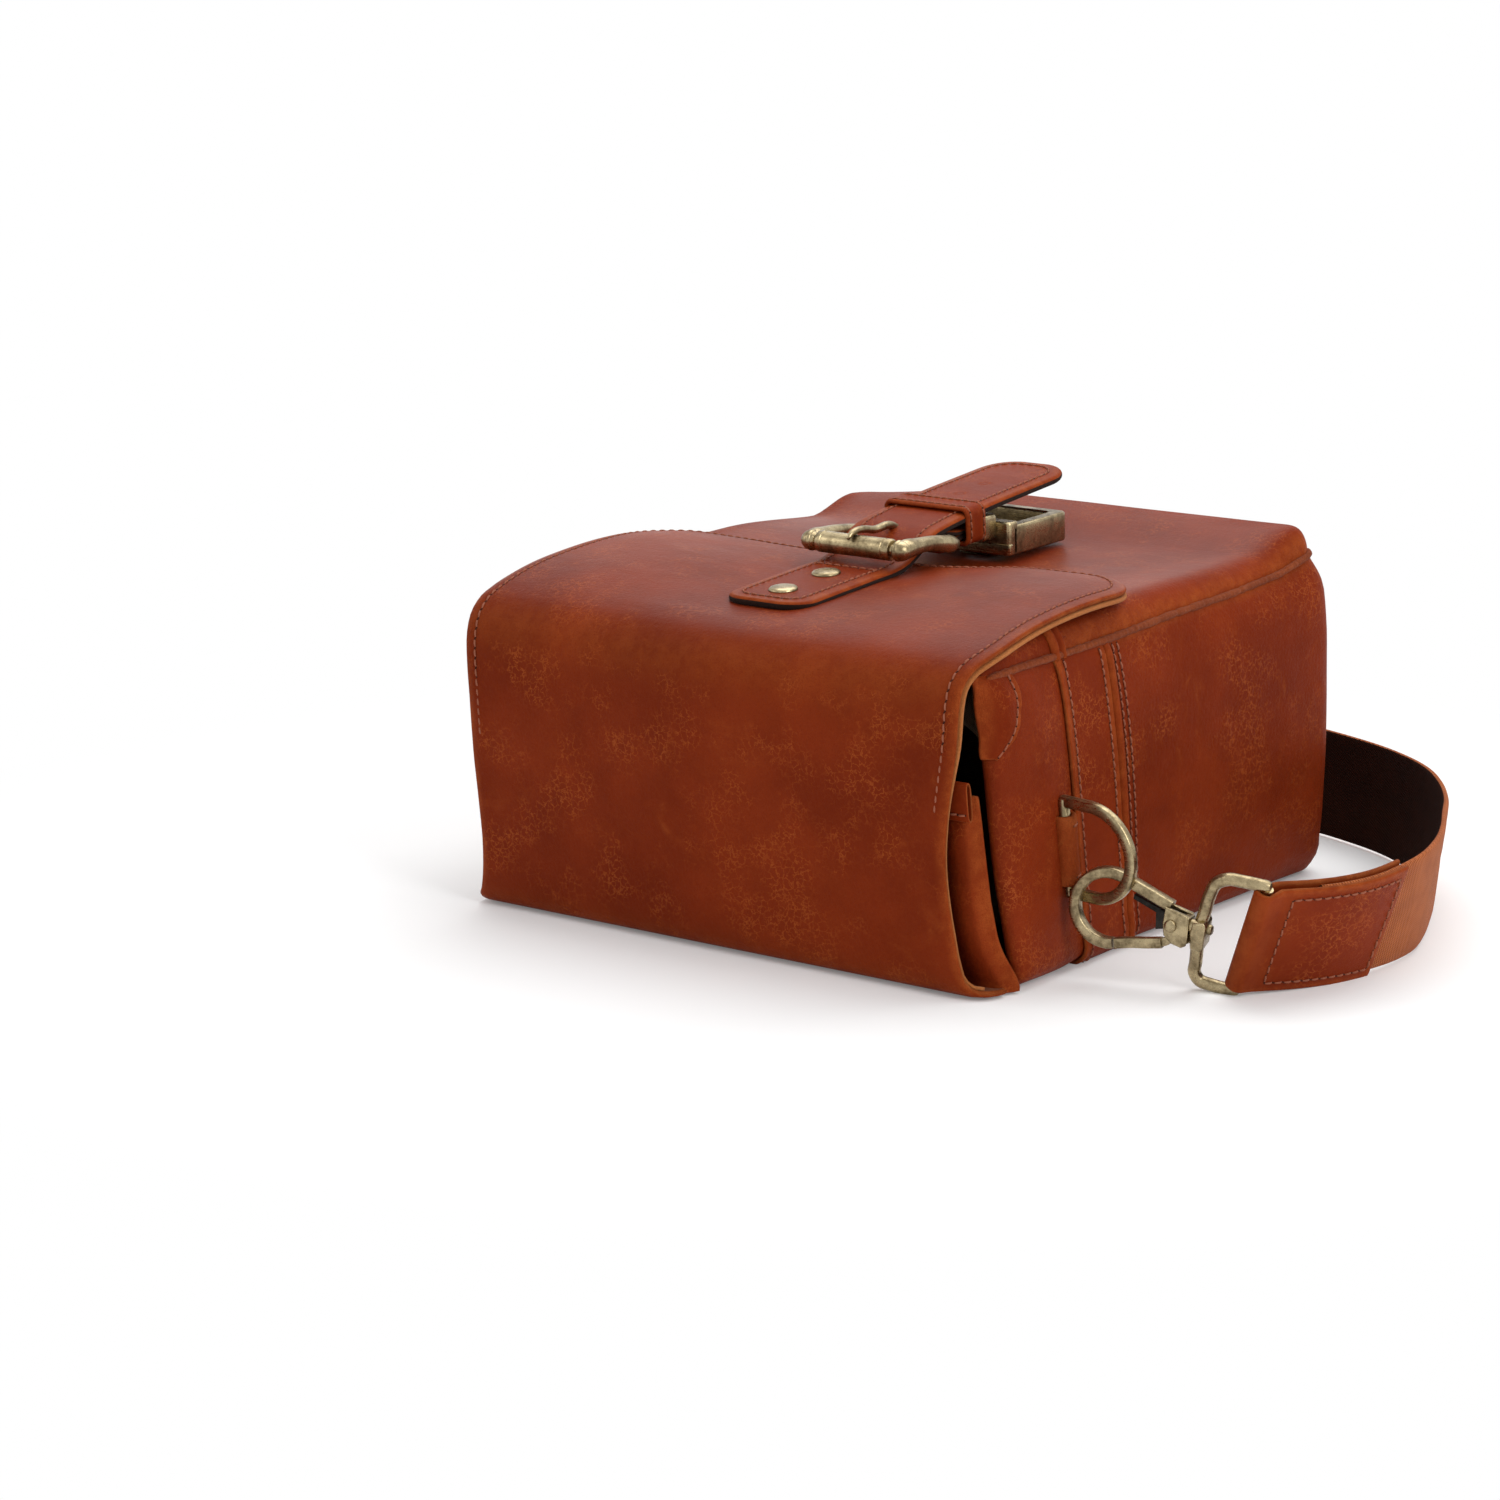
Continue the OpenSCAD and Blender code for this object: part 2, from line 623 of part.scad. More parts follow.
module wire_loop_left() on_left() wire_loop();

// strap on its route: sideways from its middle, upwards from its lower edge
function heading(i) =
  let (a = route[max(i - 1, 0)], b = route[min(i + 1, last)], d = [b[0] - a[0], b[1] - a[1]])
  d / norm(d);
function on_strap(i, side, up) =
  let (p = route[i], t = heading(i), n = up * sin(p[3]) + side * cos(p[3]))
  [p[0] + n * t[1], p[1] - n * t[0], p[2] + up * cos(p[3]) - side * sin(p[3])];

module ribbon(from, to, s0, s1) {
  n = to - from;
  rings = [for (i = [from:to]) each [on_strap(i, s0, 0), on_strap(i, s1, 0),
    on_strap(i, s1, strap_width), on_strap(i, s0, strap_width)]];
  polyhedron(rings, concat([[3, 2, 1, 0], [4 * n, 4 * n + 1, 4 * n + 2, 4 * n + 3]],
    [for (k = [0:n - 1], j = [0:3]) let (a = 4 * k + j, b = 4 * k + (j + 1) % 4)
      each [[a, b + 4, a + 4], [a, b, b + 4]]]));
}

// ends of the leather fold on the bars of the two loops, low and high
function loop_end(side) = let (c = cos(loop_roll), n = sin(loop_roll))
  hook_mid + loop_bar * [cos(hook_turn), sin(hook_turn), 0]
  + side * strap_width / 2 * [n * sin(hook_turn), -n * cos(hook_turn), c];
function swung(p) =
  let (k = [0, -sin(mouth_slant), cos(mouth_slant)], v = p - [bar_x, bar_y, bar_z],
    c = cos(left_swing), s = sin(left_swing), w = v * c + cross(k, v) * s + k * (k * v) * (1 - c))
  [-w[0] - bar_x, w[1] + bar_y, w[2] + bar_z];

// leather folded round the bar of the loop, one layer on each side of the webbing
module strap_end(ids, low, high, away) {
  a = webbing / 2;
  b = a + tab_leather;
  r = wire_radius + 0.2;
  q = r + tab_leather;
  out = on_strap(ids[0], 1, 0) - on_strap(ids[0], 0, 0);
  rings = concat(
    [for (k = [len(ids) - 1:-1:0]) [on_strap(ids[k], a, 0), on_strap(ids[k], b, 0),
      on_strap(ids[k], b, strap_width), on_strap(ids[k], a, strap_width)]],
    [for (t = [0:30:180]) let (d = out * cos(t) + away * sin(t))
      [low + r * d, low + q * d, high + q * d, high + r * d]],
    [for (k = [0:len(ids) - 1]) [on_strap(ids[k], -a, 0), on_strap(ids[k], -b, 0),
      on_strap(ids[k], -b, strap_width), on_strap(ids[k], -a, strap_width)]]);
  n = len(rings) - 1;
  turn = ids[0] == 0 ? 1 : 3;
  color("sienna") polyhedron([for (ring = rings) each ring],
    concat(turn == 1 ? [[0, 1, 2, 3], [for (j = [3:-1:0]) 4 * n + j]]
      : [[3, 2, 1, 0], [for (j = [0:3]) 4 * n + j]],
    [for (k = [0:n - 1], j = [0:3]) let (e = 4 * k + j, f = 4 * k + (j + turn) % 4)
      each [[e, f + 4, f], [e, e + 4, f + 4]]]));
}
module strap_end_right()
  strap_end([0, 1, 2, 3, 4, 5], loop_end(-1), loop_end(1), -[heading(0)[0], heading(0)[1], 0]);
module strap_end_left()
  strap_end([last, last - 1, last - 2, last - 3, last - 4], swung(loop_end(-1)),
    swung(loop_end(1)), [heading(last)[0], heading(last)[1], 0]);

module strap_webbing() color("chocolate") ribbon(2, last - 2, -webbing / 2, webbing / 2);

back_panel();
front_panel();
gusset();
collar();
waist_band();
rim_roll();
front_welt_left();
front_welt_right();
back_foam();
front_foam();
gusset_foam();
lining();
ear_left();
ear_right();
corner_left();
corner_right();
flap_hinge();
flap_top_leather();
flap_top_suede();
flap_bend();
flap_front_leather();
flap_front_suede();
billet_strap();
strap_rivets();
buckle_frame();
buckle_roller();
buckle_prong();
chape_strap();
keeper_loop();
clip_bracket();
clip_frame();
clip_plate();
catch_stud();
ring_loop_left();
ring_loop_right();
d_ring_left();
d_ring_right();
hook_left();
hook_right();
hook_pin_left();
hook_pin_right();
gate_left();
gate_right();
wire_loop_left();
wire_loop_right();
strap_end_left();
strap_end_right();
strap_webbing();
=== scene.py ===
"""Looks of the leather flight bag: lofted hide, stitching, antique brass and a webbing strap."""

import json
import math

import bpy
import numpy as np
from mathutils import Matrix, Vector, noise

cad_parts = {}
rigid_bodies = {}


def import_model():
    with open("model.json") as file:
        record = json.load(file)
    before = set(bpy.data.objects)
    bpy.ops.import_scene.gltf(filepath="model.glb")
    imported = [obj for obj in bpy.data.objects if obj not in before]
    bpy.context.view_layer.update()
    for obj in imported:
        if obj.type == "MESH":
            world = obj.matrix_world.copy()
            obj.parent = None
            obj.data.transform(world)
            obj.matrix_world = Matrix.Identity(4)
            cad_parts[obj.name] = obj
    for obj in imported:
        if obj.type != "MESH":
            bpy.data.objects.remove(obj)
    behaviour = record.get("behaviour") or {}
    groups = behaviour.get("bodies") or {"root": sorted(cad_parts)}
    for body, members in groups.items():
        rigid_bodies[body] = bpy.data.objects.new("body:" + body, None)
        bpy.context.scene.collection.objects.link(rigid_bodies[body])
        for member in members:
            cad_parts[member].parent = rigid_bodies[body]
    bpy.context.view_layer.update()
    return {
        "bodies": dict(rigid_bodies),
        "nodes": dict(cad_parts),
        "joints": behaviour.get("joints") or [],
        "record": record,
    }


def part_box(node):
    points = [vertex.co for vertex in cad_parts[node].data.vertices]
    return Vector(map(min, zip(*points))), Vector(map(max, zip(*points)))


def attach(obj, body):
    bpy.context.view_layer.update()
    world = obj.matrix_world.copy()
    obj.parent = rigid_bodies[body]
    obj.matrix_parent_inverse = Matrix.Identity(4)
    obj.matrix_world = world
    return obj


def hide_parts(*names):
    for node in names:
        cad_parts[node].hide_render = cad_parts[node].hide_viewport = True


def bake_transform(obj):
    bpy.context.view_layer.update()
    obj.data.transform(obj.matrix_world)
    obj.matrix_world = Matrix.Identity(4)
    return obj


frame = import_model()

# Sizes are in millimetres, in the frame of the bag
MM = 0.001
joint_at = {j["name"]: Vector(j["pos_m"]) / MM for j in frame["joints"]}


def side_of(node, corner, axis):
    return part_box(node)[corner][axis] / MM


HALF_WIDTH = side_of("gusset", 1, 0)
BASE_REACH = 114
MOUTH_REACH = 93
MOUTH_SLANT = 8
BASE_SLANT = 3.8
BASE_ROUND = 14
BAND_FROM = -49.5
RIM_FROM = -22.5
HIDE = 2.0
SUEDE = 1.4
WALLS = 7.2
FLAP_HALF = 105
FLAP_ROUND = 26
FOLD_SLOPE = 5.0
BILLET_HALF = 16
BILLET_THICK = 3.0
STRAP_WIDTH = 40
WEBBING = 2.2
TAB_HIDE = 1.8
WIRE = 2.0


# Camera at the angle of the photograph

def make_camera():
    data = bpy.data.cameras.new("camera")
    data.lens = 101.76
    data.sensor_width = 36
    camera = bpy.data.objects.new("camera", data)
    camera.location = (0.850, -1.185, 0.370)
    camera.rotation_euler = (math.radians(90 - 12.4), 0, math.radians(37.9))
    bpy.context.scene.collection.objects.link(camera)
    bpy.context.scene.camera = camera


make_camera()


# Places

def place(x, y, z):
    return Matrix.Translation((x, y, z))


def turn(axis, degrees):
    return Matrix.Rotation(math.radians(degrees), 4, axis)


FOLD = joint_at["flap_fold"]
PIN = [117, 4.8]
ROLLER = [87.5, 9]
KEEPER = 129
fold_frame = place(*FOLD) @ turn("X", FOLD_SLOPE)
clip_at = FOLD.y + 147 * math.cos(math.radians(FOLD_SLOPE))
clip_under = 117.31
clip_frame = place(0, clip_at, clip_under) @ turn("X", 2)
BAR = joint_at["ring_right_swing"]
bar_frame = place(*BAR) @ turn("X", MOUTH_SLANT)
ring_frame = bar_frame @ place(0, 0, 1.5) @ turn("Z", -6)
HOOK = joint_at["swivel_right"]
hook_frame = place(*HOOK) @ turn("Z", 29) @ turn("X", 90)
loop_frame = hook_frame @ turn("X", 24)
HOOK_SHIFT = (2.4, -1.6, 1.2)
HOOK_HEADING = 12
HOOK_DROOP = 6
LOOP_LEAN = 18
upright_hook = place(*HOOK) @ place(*HOOK_SHIFT) @ turn("Z", HOOK_HEADING) @ turn("X", 90)
right_hook = upright_hook @ turn("Z", -HOOK_DROOP)
right_loop = right_hook @ turn("X", LOOP_LEAN)
mirrored = Matrix.Diagonal((-1, 1, 1, 1))
on_left = mirrored @ bar_frame @ turn("Z", 50) @ turn("X", -MOUTH_SLANT) @ place(*-BAR)
left_hook, left_loop = on_left @ hook_frame, on_left @ loop_frame @ place(-4, 0, 0)
RIGHT = Matrix.Identity(4)


def moved(matrix, points):
    m = np.array(matrix)
    return np.asarray(points, float) @ m[:3, :3].T + m[:3, 3]


# Curves and numbers

class Curve:
    """A smooth line through points, measured along its chords."""

    def __init__(self, points, knots=None):
        self.points = np.asarray(points, float)
        steps = np.linalg.norm(np.diff(self.points[:, :2], axis=0), axis=1)
        self.knots = np.concatenate([[0], np.cumsum(steps)]) if knots is None else knots
        self.slopes = np.gradient(self.points, self.knots, axis=0)
        self.length = self.knots[-1]

    def __call__(self, s):
        s = np.asarray(s, float)
        k = np.clip(np.searchsorted(self.knots, s, side="right") - 1, 0, len(self.knots) - 2)
        gap = (self.knots[k + 1] - self.knots[k])[..., None]
        t = np.clip((s - self.knots[k])[..., None] / gap, 0, 1)
        a, b = self.points[k], self.points[k + 1]
        c, d = self.slopes[k] * gap, self.slopes[k + 1] * gap
        return (
            (2 * t**3 - 3 * t**2 + 1) * a
            + (t**3 - 2 * t**2 + t) * c
            + (3 * t**2 - 2 * t**3) * b
            + (t**3 - t**2) * d
        )


def smooth(low, high, x):
    t = np.clip((np.asarray(x, float) - low) / (high - low), 0, 1)
    return t * t * (3 - 2 * t)


def unit(v):
    return v / np.maximum(np.linalg.norm(v, axis=-1, keepdims=True), 1e-9)


def ripple(points, size, seed):
    """Smooth noise from -1 to 1 at each point, with bumps of about that size."""
    flat = np.asarray(points, float).reshape(-1, 3) / size + seed
    values = [noise.noise(Vector(p)) for p in flat]
    return np.array(values).reshape(np.asarray(points).shape[:-1])


def spread(length, step, fine=(0, 0.7, 1.6, 2.6, 3.6, 4.4, 5, 5.6, 6.4, 8, 11)):
    """Stations from 0 to length, close together near both ends."""
    inner = length - 2 * fine[-1]
    count = max(2, round(inner / step))
    middle = [fine[-1] + inner * k / count for k in range(1, count)]
    return np.array([*fine, *middle, *[length - f for f in reversed(fine)]])


# Meshes

def settled(points):
    """The far left corner of the front has sunk a little, as in the photograph."""
    x, y, z = points.T
    sunk = 6.5 * smooth(30, 104, -x) * smooth(15, 100, y) * smooth(60, 112, z)
    return np.column_stack([x, y, z - sunk])


def make(name, verts, faces, finishes, matrix=None, finish_of=None, sharp=None, **marks):
    """A piece from points in millimetres, with its place at rest kept for its finish."""
    verts = np.asarray(verts, float).reshape(-1, 3)
    if matrix is not None:
        verts = moved(matrix, verts)
        if matrix.determinant() < 0:
            faces = [tuple(reversed(f)) for f in faces]
    verts = settled(verts)
    mesh = bpy.data.meshes.new(name)
    mesh.from_pydata((verts * MM).tolist(), [], [tuple(map(int, f)) for f in faces])
    mesh.update()
    mesh.polygons.foreach_set("use_smooth", [True] * len(mesh.polygons))
    if sharp:
        mesh.set_sharp_from_angle(angle=math.radians(sharp))
    kept = mesh.attributes.new("place", "FLOAT_VECTOR", "POINT")
    kept.data.foreach_set("vector", verts.astype(np.float32).ravel())
    for mark, values in marks.items():
        values = np.asarray(values, np.float32)
        if values.ndim == 2:
            mesh.attributes.new(mark, "FLOAT_VECTOR", "POINT").data.foreach_set("vector", values.ravel())
        else:
            mesh.attributes.new(mark, "FLOAT", "POINT").data.foreach_set("value", values)
    for finish in finishes:
        mesh.materials.append(finish)
    if finish_of is not None:
        mesh.polygons.foreach_set("material_index", np.asarray(finish_of, np.int32))
    piece = bpy.data.objects.new(name, mesh)
    bpy.context.scene.collection.objects.link(piece)
    return piece


def ride(piece, body, slot, *nodes):
    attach(piece, body)
    if nodes:
        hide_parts(*nodes)
    return piece


def grid_faces(rows, columns, start=0, wrap=False):
    """Faces of a grid of points, its rows may close into rings."""
    last = columns if wrap else columns - 1
    return [
        (
            start + i * columns + j,
            start + (i + 1) * columns + j,
            start + (i + 1) * columns + (j + 1) % columns,
            start + i * columns + (j + 1) % columns,
        )
        for i in range(rows - 1)
        for j in range(last)
    ]


def normals_of(grid):
    return unit(np.cross(np.gradient(grid, axis=0), np.gradient(grid, axis=1)))


RIM_TURNS = [math.radians(a) for a in (60, 30, 0, -30, -60)]


BAG_MIDDLE = (0, 0, 57)


def outward(grid, middle=BAG_MIDDLE):
    """The same grid, with its columns turned round if its faces look towards the middle."""
    facing = np.sum(normals_of(grid) * (grid - np.asarray(middle)), -1).mean()
    return (grid, 1) if facing > 0 else (grid[:, ::-1], -1)


def hide_sheet(
    name, grid, thick, finishes, rim=None, pull=None, polish=None, open_side=None, middle=BAG_MIDDLE
):
    """A sheet of leather from the points of its outer face, with rounded edges.

    finishes are those of the outer face, the inner face and the cut edge.
    open_side names a side without an edge, first_row or last_row, where another sheet goes on.
    """
    grid, turn_of = outward(grid, middle)
    given = (rim, pull, polish)
    rim, pull, polish = (None if m is None else np.asarray(m, float)[:, ::turn_of] for m in given)
    rows, columns = grid.shape[:2]
    n = normals_of(grid)
    inner = grid - n * thick
    sides = {
        "first_column": [(i, 0) for i in range(rows)],
        "last_row": [(rows - 1, j) for j in range(columns)],
        "last_column": [(i, columns - 1) for i in range(rows - 1, -1, -1)],
        "first_row": [(0, j) for j in range(columns - 1, -1, -1)],
    }
    names = list(sides)
    start = names.index(open_side) + 1 if open_side else 0
    order = [name for name in names[start:] + names[:start] if name != open_side]
    loop = [p for name in order for p in sides[name][:-1]]
    if open_side:
        loop.append(sides[order[-1]][-1])
    i, j = np.array(loop).T
    edge, up = grid[i, j], n[i, j]
    if open_side:
        along = np.gradient(edge, axis=0)
    else:
        along = np.roll(edge, -1, 0) - np.roll(edge, 1, 0)
    out = unit(np.cross(along, up))
    rings = [
        edge - up * thick / 2 + thick / 2 * (up * math.sin(a) + out * math.cos(a))
        for a in RIM_TURNS
    ]
    count = rows * columns
    verts = np.concatenate([grid.reshape(-1, 3), inner.reshape(-1, 3), *rings])
    faces = grid_faces(rows, columns)
    finish_of = [0] * len(faces)
    back = [tuple(reversed(f)) for f in grid_faces(rows, columns, count)]
    faces += back
    finish_of += [1] * len(back)
    flat_ids = i * columns + j
    loops = [flat_ids, *[2 * count + len(loop) * k + np.arange(len(loop)) for k in range(len(rings))]]
    loops.append(count + flat_ids)
    last = len(loop) - 1 if open_side else len(loop)
    for k, (a, b) in enumerate(zip(loops, loops[1:])):
        faces += list(zip(a, b, np.roll(b, -1), np.roll(a, -1)))[:last]
        finish_of += [0 if k < 2 else 2] * last
    far = np.full(count, 50.0) if rim is None else np.asarray(rim, float).ravel()
    soft = np.zeros(count) if pull is None else np.asarray(pull, float).ravel()
    shine = np.zeros(count) if polish is None else np.asarray(polish, float).ravel()
    tail = len(verts) - 2 * count
    return make(
        name,
        verts,
        faces,
        finishes,
        finish_of=finish_of,
        rim=np.concatenate([far, far, np.zeros(tail)]),
        pull=np.concatenate([soft, soft, np.zeros(tail)]),
        polish=np.concatenate([shine, 0 * shine, np.zeros(tail)]),
    )


def rounded_section(wide, high, corner, steps=3):
    """Outline of a bar with rounded corners."""
    points = []
    for k, (sx, sy) in enumerate([(1, 1), (-1, 1), (-1, -1), (1, -1)]):
        for t in range(steps + 1):
            a = math.radians(90 * k + 90 * t / steps)
            points.append(
                [
                    sx * (wide / 2 - corner) + corner * math.cos(a),
                    sy * (high / 2 - corner) + corner * math.sin(a),
                ]
            )
    return np.array(points)


def round_section(radius, sides=16):
    a = np.linspace(0, 2 * math.pi, sides, endpoint=False)
    return radius * np.stack([np.cos(a), np.sin(a)], 1)


def swept(path, section, side=(0, 0, 1), sizes=None, closed=False):
    """Points and faces of a bar along a path, its section stands on the side direction."""
    path = np.asarray(path, float)
    if closed:
        along = unit(np.roll(path, -1, 0) - np.roll(path, 1, 0))
    else:
        along = unit(np.gradient(path, axis=0))
    up = np.broadcast_to(np.asarray(side, float), path.shape)
    up = unit(up - along * np.sum(up * along, 1, keepdims=True))
    across = np.cross(up, along)
    sizes = np.ones(len(path)) if sizes is None else np.asarray(sizes, float)
    verts = (
        path[:, None]
        + sizes[:, None, None] * section[None, :, 0, None] * across[:, None]
        + sizes[:, None, None] * section[None, :, 1, None] * up[:, None]
    )
    count = len(section)
    if closed:
        verts = np.concatenate([verts, verts[:1]])
    faces = [tuple(reversed(f)) for f in grid_faces(len(verts), count, wrap=True)]
    if closed:
        size = len(path) * count
        faces = [tuple(v % size for v in f) for f in faces]
        verts = verts[:-1]
    else:
        faces.append(tuple(reversed(range(count))))
        faces.append(tuple((len(verts) - 1) * count + k for k in range(count)))
    return verts.reshape(-1, 3), faces


def turned(profile, sides=32):
    """Points and faces of a turned piece, profile is along its axis and out from it."""
    a = np.linspace(0, 2 * math.pi, sides, endpoint=False)
    verts = np.array([[x, r * math.cos(t), r * math.sin(t)] for x, r in profile for t in a])
    faces = [tuple(reversed(f)) for f in grid_faces(len(profile), sides, wrap=True)]
    faces.append(tuple(reversed(range(sides))))
    faces.append(tuple((len(profile) - 1) * sides + k for k in range(sides)))
    return verts, [tuple(reversed(f)) for f in faces]


def joined(parts):
    """Several sets of points and faces as one."""
    verts, faces, start = [], [], 0
    for points, loops in parts:
        points = np.asarray(points, float).reshape(-1, 3)
        verts.append(points)
        faces += [tuple(v + start for v in f) for f in loops]
        start += len(points)
    return np.concatenate(verts), faces


def at(matrix, part):
    return moved(matrix, part[0]), part[1]


def cut_plate(outline, holes, low, high, bevel):
    """Points and faces of a plate with holes and bevelled edges, lying on its outline's plane."""
    data = bpy.data.curves.new("outline", "CURVE")
    data.dimensions = "2D"
    data.fill_mode = "BOTH"
    data.extrude = (high - low) / 2 - bevel
    data.bevel_depth = bevel
    data.bevel_resolution = 2
    data.offset = -bevel
    for loop in [outline, *holes]:
        line = data.splines.new("POLY")
        line.points.add(len(loop) - 1)
        line.points.foreach_set("co", [c for x, y in loop for c in (x, y, 0, 1)])
        line.use_cyclic_u = True
    shape = bpy.data.objects.new("outline", data)
    mesh = bpy.data.meshes.new_from_object(shape)
    verts = np.array([v.co for v in mesh.vertices]) + [0, 0, (low + high) / 2]
    faces = [tuple(p.vertices) for p in mesh.polygons]
    bpy.data.objects.remove(shape)
    bpy.data.meshes.remove(mesh)
    bpy.data.curves.remove(data)
    return verts, faces


def rounded_box(x0, x1, y0, y1, corner, steps=5):
    outline = rounded_section(x1 - x0, y1 - y0, corner, steps)
    return outline + [(x0 + x1) / 2, (y0 + y1) / 2]


def punch(piece, cutters):
    """Cuts holes of the cutters' shape into a piece; the walls of the holes take the cutter's near-black
    finish, painted shade.
    """
    verts, faces = joined(cutters)
    tool = make("punch", verts, faces, [finish["shade"]])
    cut = piece.modifiers.new("punch", "BOOLEAN")
    cut.object = tool
    cut.solver = "EXACT"
    # The cut walls keep the cutter's near-black finish: painted shade inside the holes.
    cut.material_mode = "TRANSFER"
    bpy.context.view_layer.update()
    mesh = bpy.data.meshes.new_from_object(piece.evaluated_get(bpy.context.evaluated_depsgraph_get()))
    piece.modifiers.clear()
    piece.data = mesh
    bpy.data.objects.remove(tool)


# Finishes

def node(tree, kind, **values):
    made = tree.nodes.new("ShaderNode" + kind)
    for key, value in values.items():
        if hasattr(made, key):
            setattr(made, key, value)
            continue
        socket = made.inputs[int(key[1:])] if key[1:].isdigit() else made.inputs[key.replace("_", " ")]
        if isinstance(value, bpy.types.NodeSocket):
            tree.links.new(value, socket)
        else:
            socket.default_value = value
    return made


def maths(tree, operation, a, b=0.0):
    return node(tree, "Math", operation=operation, i0=a, i1=b).outputs[0]


def ramp(tree, value, low, high, first, last):
    made = node(tree, "MapRange", interpolation_type="SMOOTHSTEP", Value=value)
    for k, x in zip(range(1, 5), (low, high, first, last)):
        made.inputs[k].default_value = x
    return made.outputs[0]


def mixed(tree, share, a, b, blend="MIX"):
    made = node(tree, "MixRGB", blend_type=blend, Fac=share, Color1=a, Color2=b)
    return made.outputs[0]


KINDS = {"Vector": "NodeSocketVector", "Color": "NodeSocketColor", "Value": "NodeSocketFloat"}


def effect(name, inputs, outputs):
    """An empty shader group with named sockets, its tree, input node and output node."""
    tree = bpy.data.node_groups.new(name, "ShaderNodeTree")
    for socket, kind in inputs.items():
        tree.interface.new_socket(socket, in_out="INPUT", socket_type=KINDS[kind])
    for socket, kind in outputs.items():
        tree.interface.new_socket(socket, in_out="OUTPUT", socket_type=KINDS[kind])
    return tree, tree.nodes.new("NodeGroupInput").outputs, tree.nodes.new("NodeGroupOutput").inputs


def pebble_grain():
    """Pebbles and pores of full grain hide, the place is in millimetres."""
    tree, given, out = effect(
        "pebble_grain", {"Place": "Vector", "Fineness": "Value"}, {"Height": "Value", "Pores": "Value"}
    )
    place_in = node(tree, "VectorMath", operation="SCALE", i0=given["Place"], Scale=given["Fineness"])
    where = place_in.outputs[0]
    cells = node(tree, "TexVoronoi", feature="SMOOTH_F1", Vector=where, Scale=1.1, Smoothness=0.6)
    fine = node(tree, "TexVoronoi", feature="DISTANCE_TO_EDGE", Vector=where, Scale=2.3)
    cracks = ramp(tree, fine.outputs["Distance"], 0, 0.16, 0, 1)
    swell = node(tree, "TexNoise", Vector=where, Scale=0.22, Detail=4.0, Roughness=0.62)
    lumps = maths(tree, "MULTIPLY", maths(tree, "SUBTRACT", 1.0, cells.outputs["Distance"]), 0.5)
    height = maths(tree, "ADD", lumps, maths(tree, "MULTIPLY", cracks, 0.22))
    height = maths(tree, "ADD", height, maths(tree, "MULTIPLY", swell.outputs[0], 1.3))
    tree.links.new(height, out["Height"])
    tree.links.new(maths(tree, "SUBTRACT", 1.0, cracks), out["Pores"])
    return tree


def pull_up():
    """Colour of waxed hide: cloudy, lighter where it is bent, burnished along its edges."""
    tree, given, out = effect(
        "pull_up",
        {
            "Place": "Vector", "Rim": "Value", "Pull": "Value",
            "Deep": "Color", "Mid": "Color", "Pale": "Color",
        },
        {"Color": "Color", "Roughness": "Value"},
    )
    cloud = node(tree, "TexNoise", Vector=given["Place"], Scale=0.021, Detail=5.0, Roughness=0.58)
    streak = node(tree, "Mapping", Vector=given["Place"], Scale=(0.035, 0.10, 0.05))
    drag = node(
        tree, "TexNoise", Vector=streak.outputs[0], Scale=1.0, Detail=6.0, Roughness=0.66, Distortion=0.9
    )
    rubs = node(tree, "TexNoise", Vector=given["Place"], Scale=0.16, Detail=5.0, Roughness=0.7)
    shade = ramp(tree, cloud.outputs[0], 0.3, 0.72, 0, 1)
    colour = mixed(tree, shade, given["Deep"], given["Mid"])
    worn = ramp(tree, rubs.outputs[0], 0.4, 0.7, 0.2, 1)
    glow = maths(tree, "MULTIPLY", ramp(tree, drag.outputs[0], 0.52, 0.8, 0, 0.5), worn)
    bent = maths(tree, "MULTIPLY", given["Pull"], ramp(tree, rubs.outputs[0], 0.25, 0.65, 0.25, 1))
    rubbed = ramp(tree, rubs.outputs[0], 0.35, 0.7, 0.3, 1)
    edge = maths(tree, "MULTIPLY", ramp(tree, given["Rim"], 0.2, 4.5, 0.55, 0), rubbed)
    light = maths(tree, "MAXIMUM", maths(tree, "MAXIMUM", glow, bent), edge)
    warp = node(tree, "TexNoise", Vector=given["Place"], Scale=0.45, Detail=4.0)
    warped = node(tree, "VectorMath", operation="SCALE", i0=warp.outputs["Color"], Scale=5.0)
    warped = node(tree, "VectorMath", operation="ADD", i0=warped.outputs[0], i1=given["Place"])
    lines = node(tree, "TexVoronoi", feature="DISTANCE_TO_EDGE", Vector=warped.outputs[0], Scale=0.36)
    patch = node(tree, "TexNoise", Vector=given["Place"], Scale=0.05, Detail=4.0, Roughness=0.6)
    creased = ramp(tree, patch.outputs[0], 0.46, 0.64, 0.06, 0.62)
    crease = maths(tree, "MULTIPLY", ramp(tree, lines.outputs["Distance"], 0.0, 0.085, 1, 0), creased)
    light = maths(tree, "MAXIMUM", light, crease)
    colour = mixed(tree, light, colour, given["Pale"])
    tree.links.new(colour, out["Color"])
    tree.links.new(ramp(tree, drag.outputs[0], 0.25, 0.8, 0.36, 0.5), out["Roughness"])
    return tree


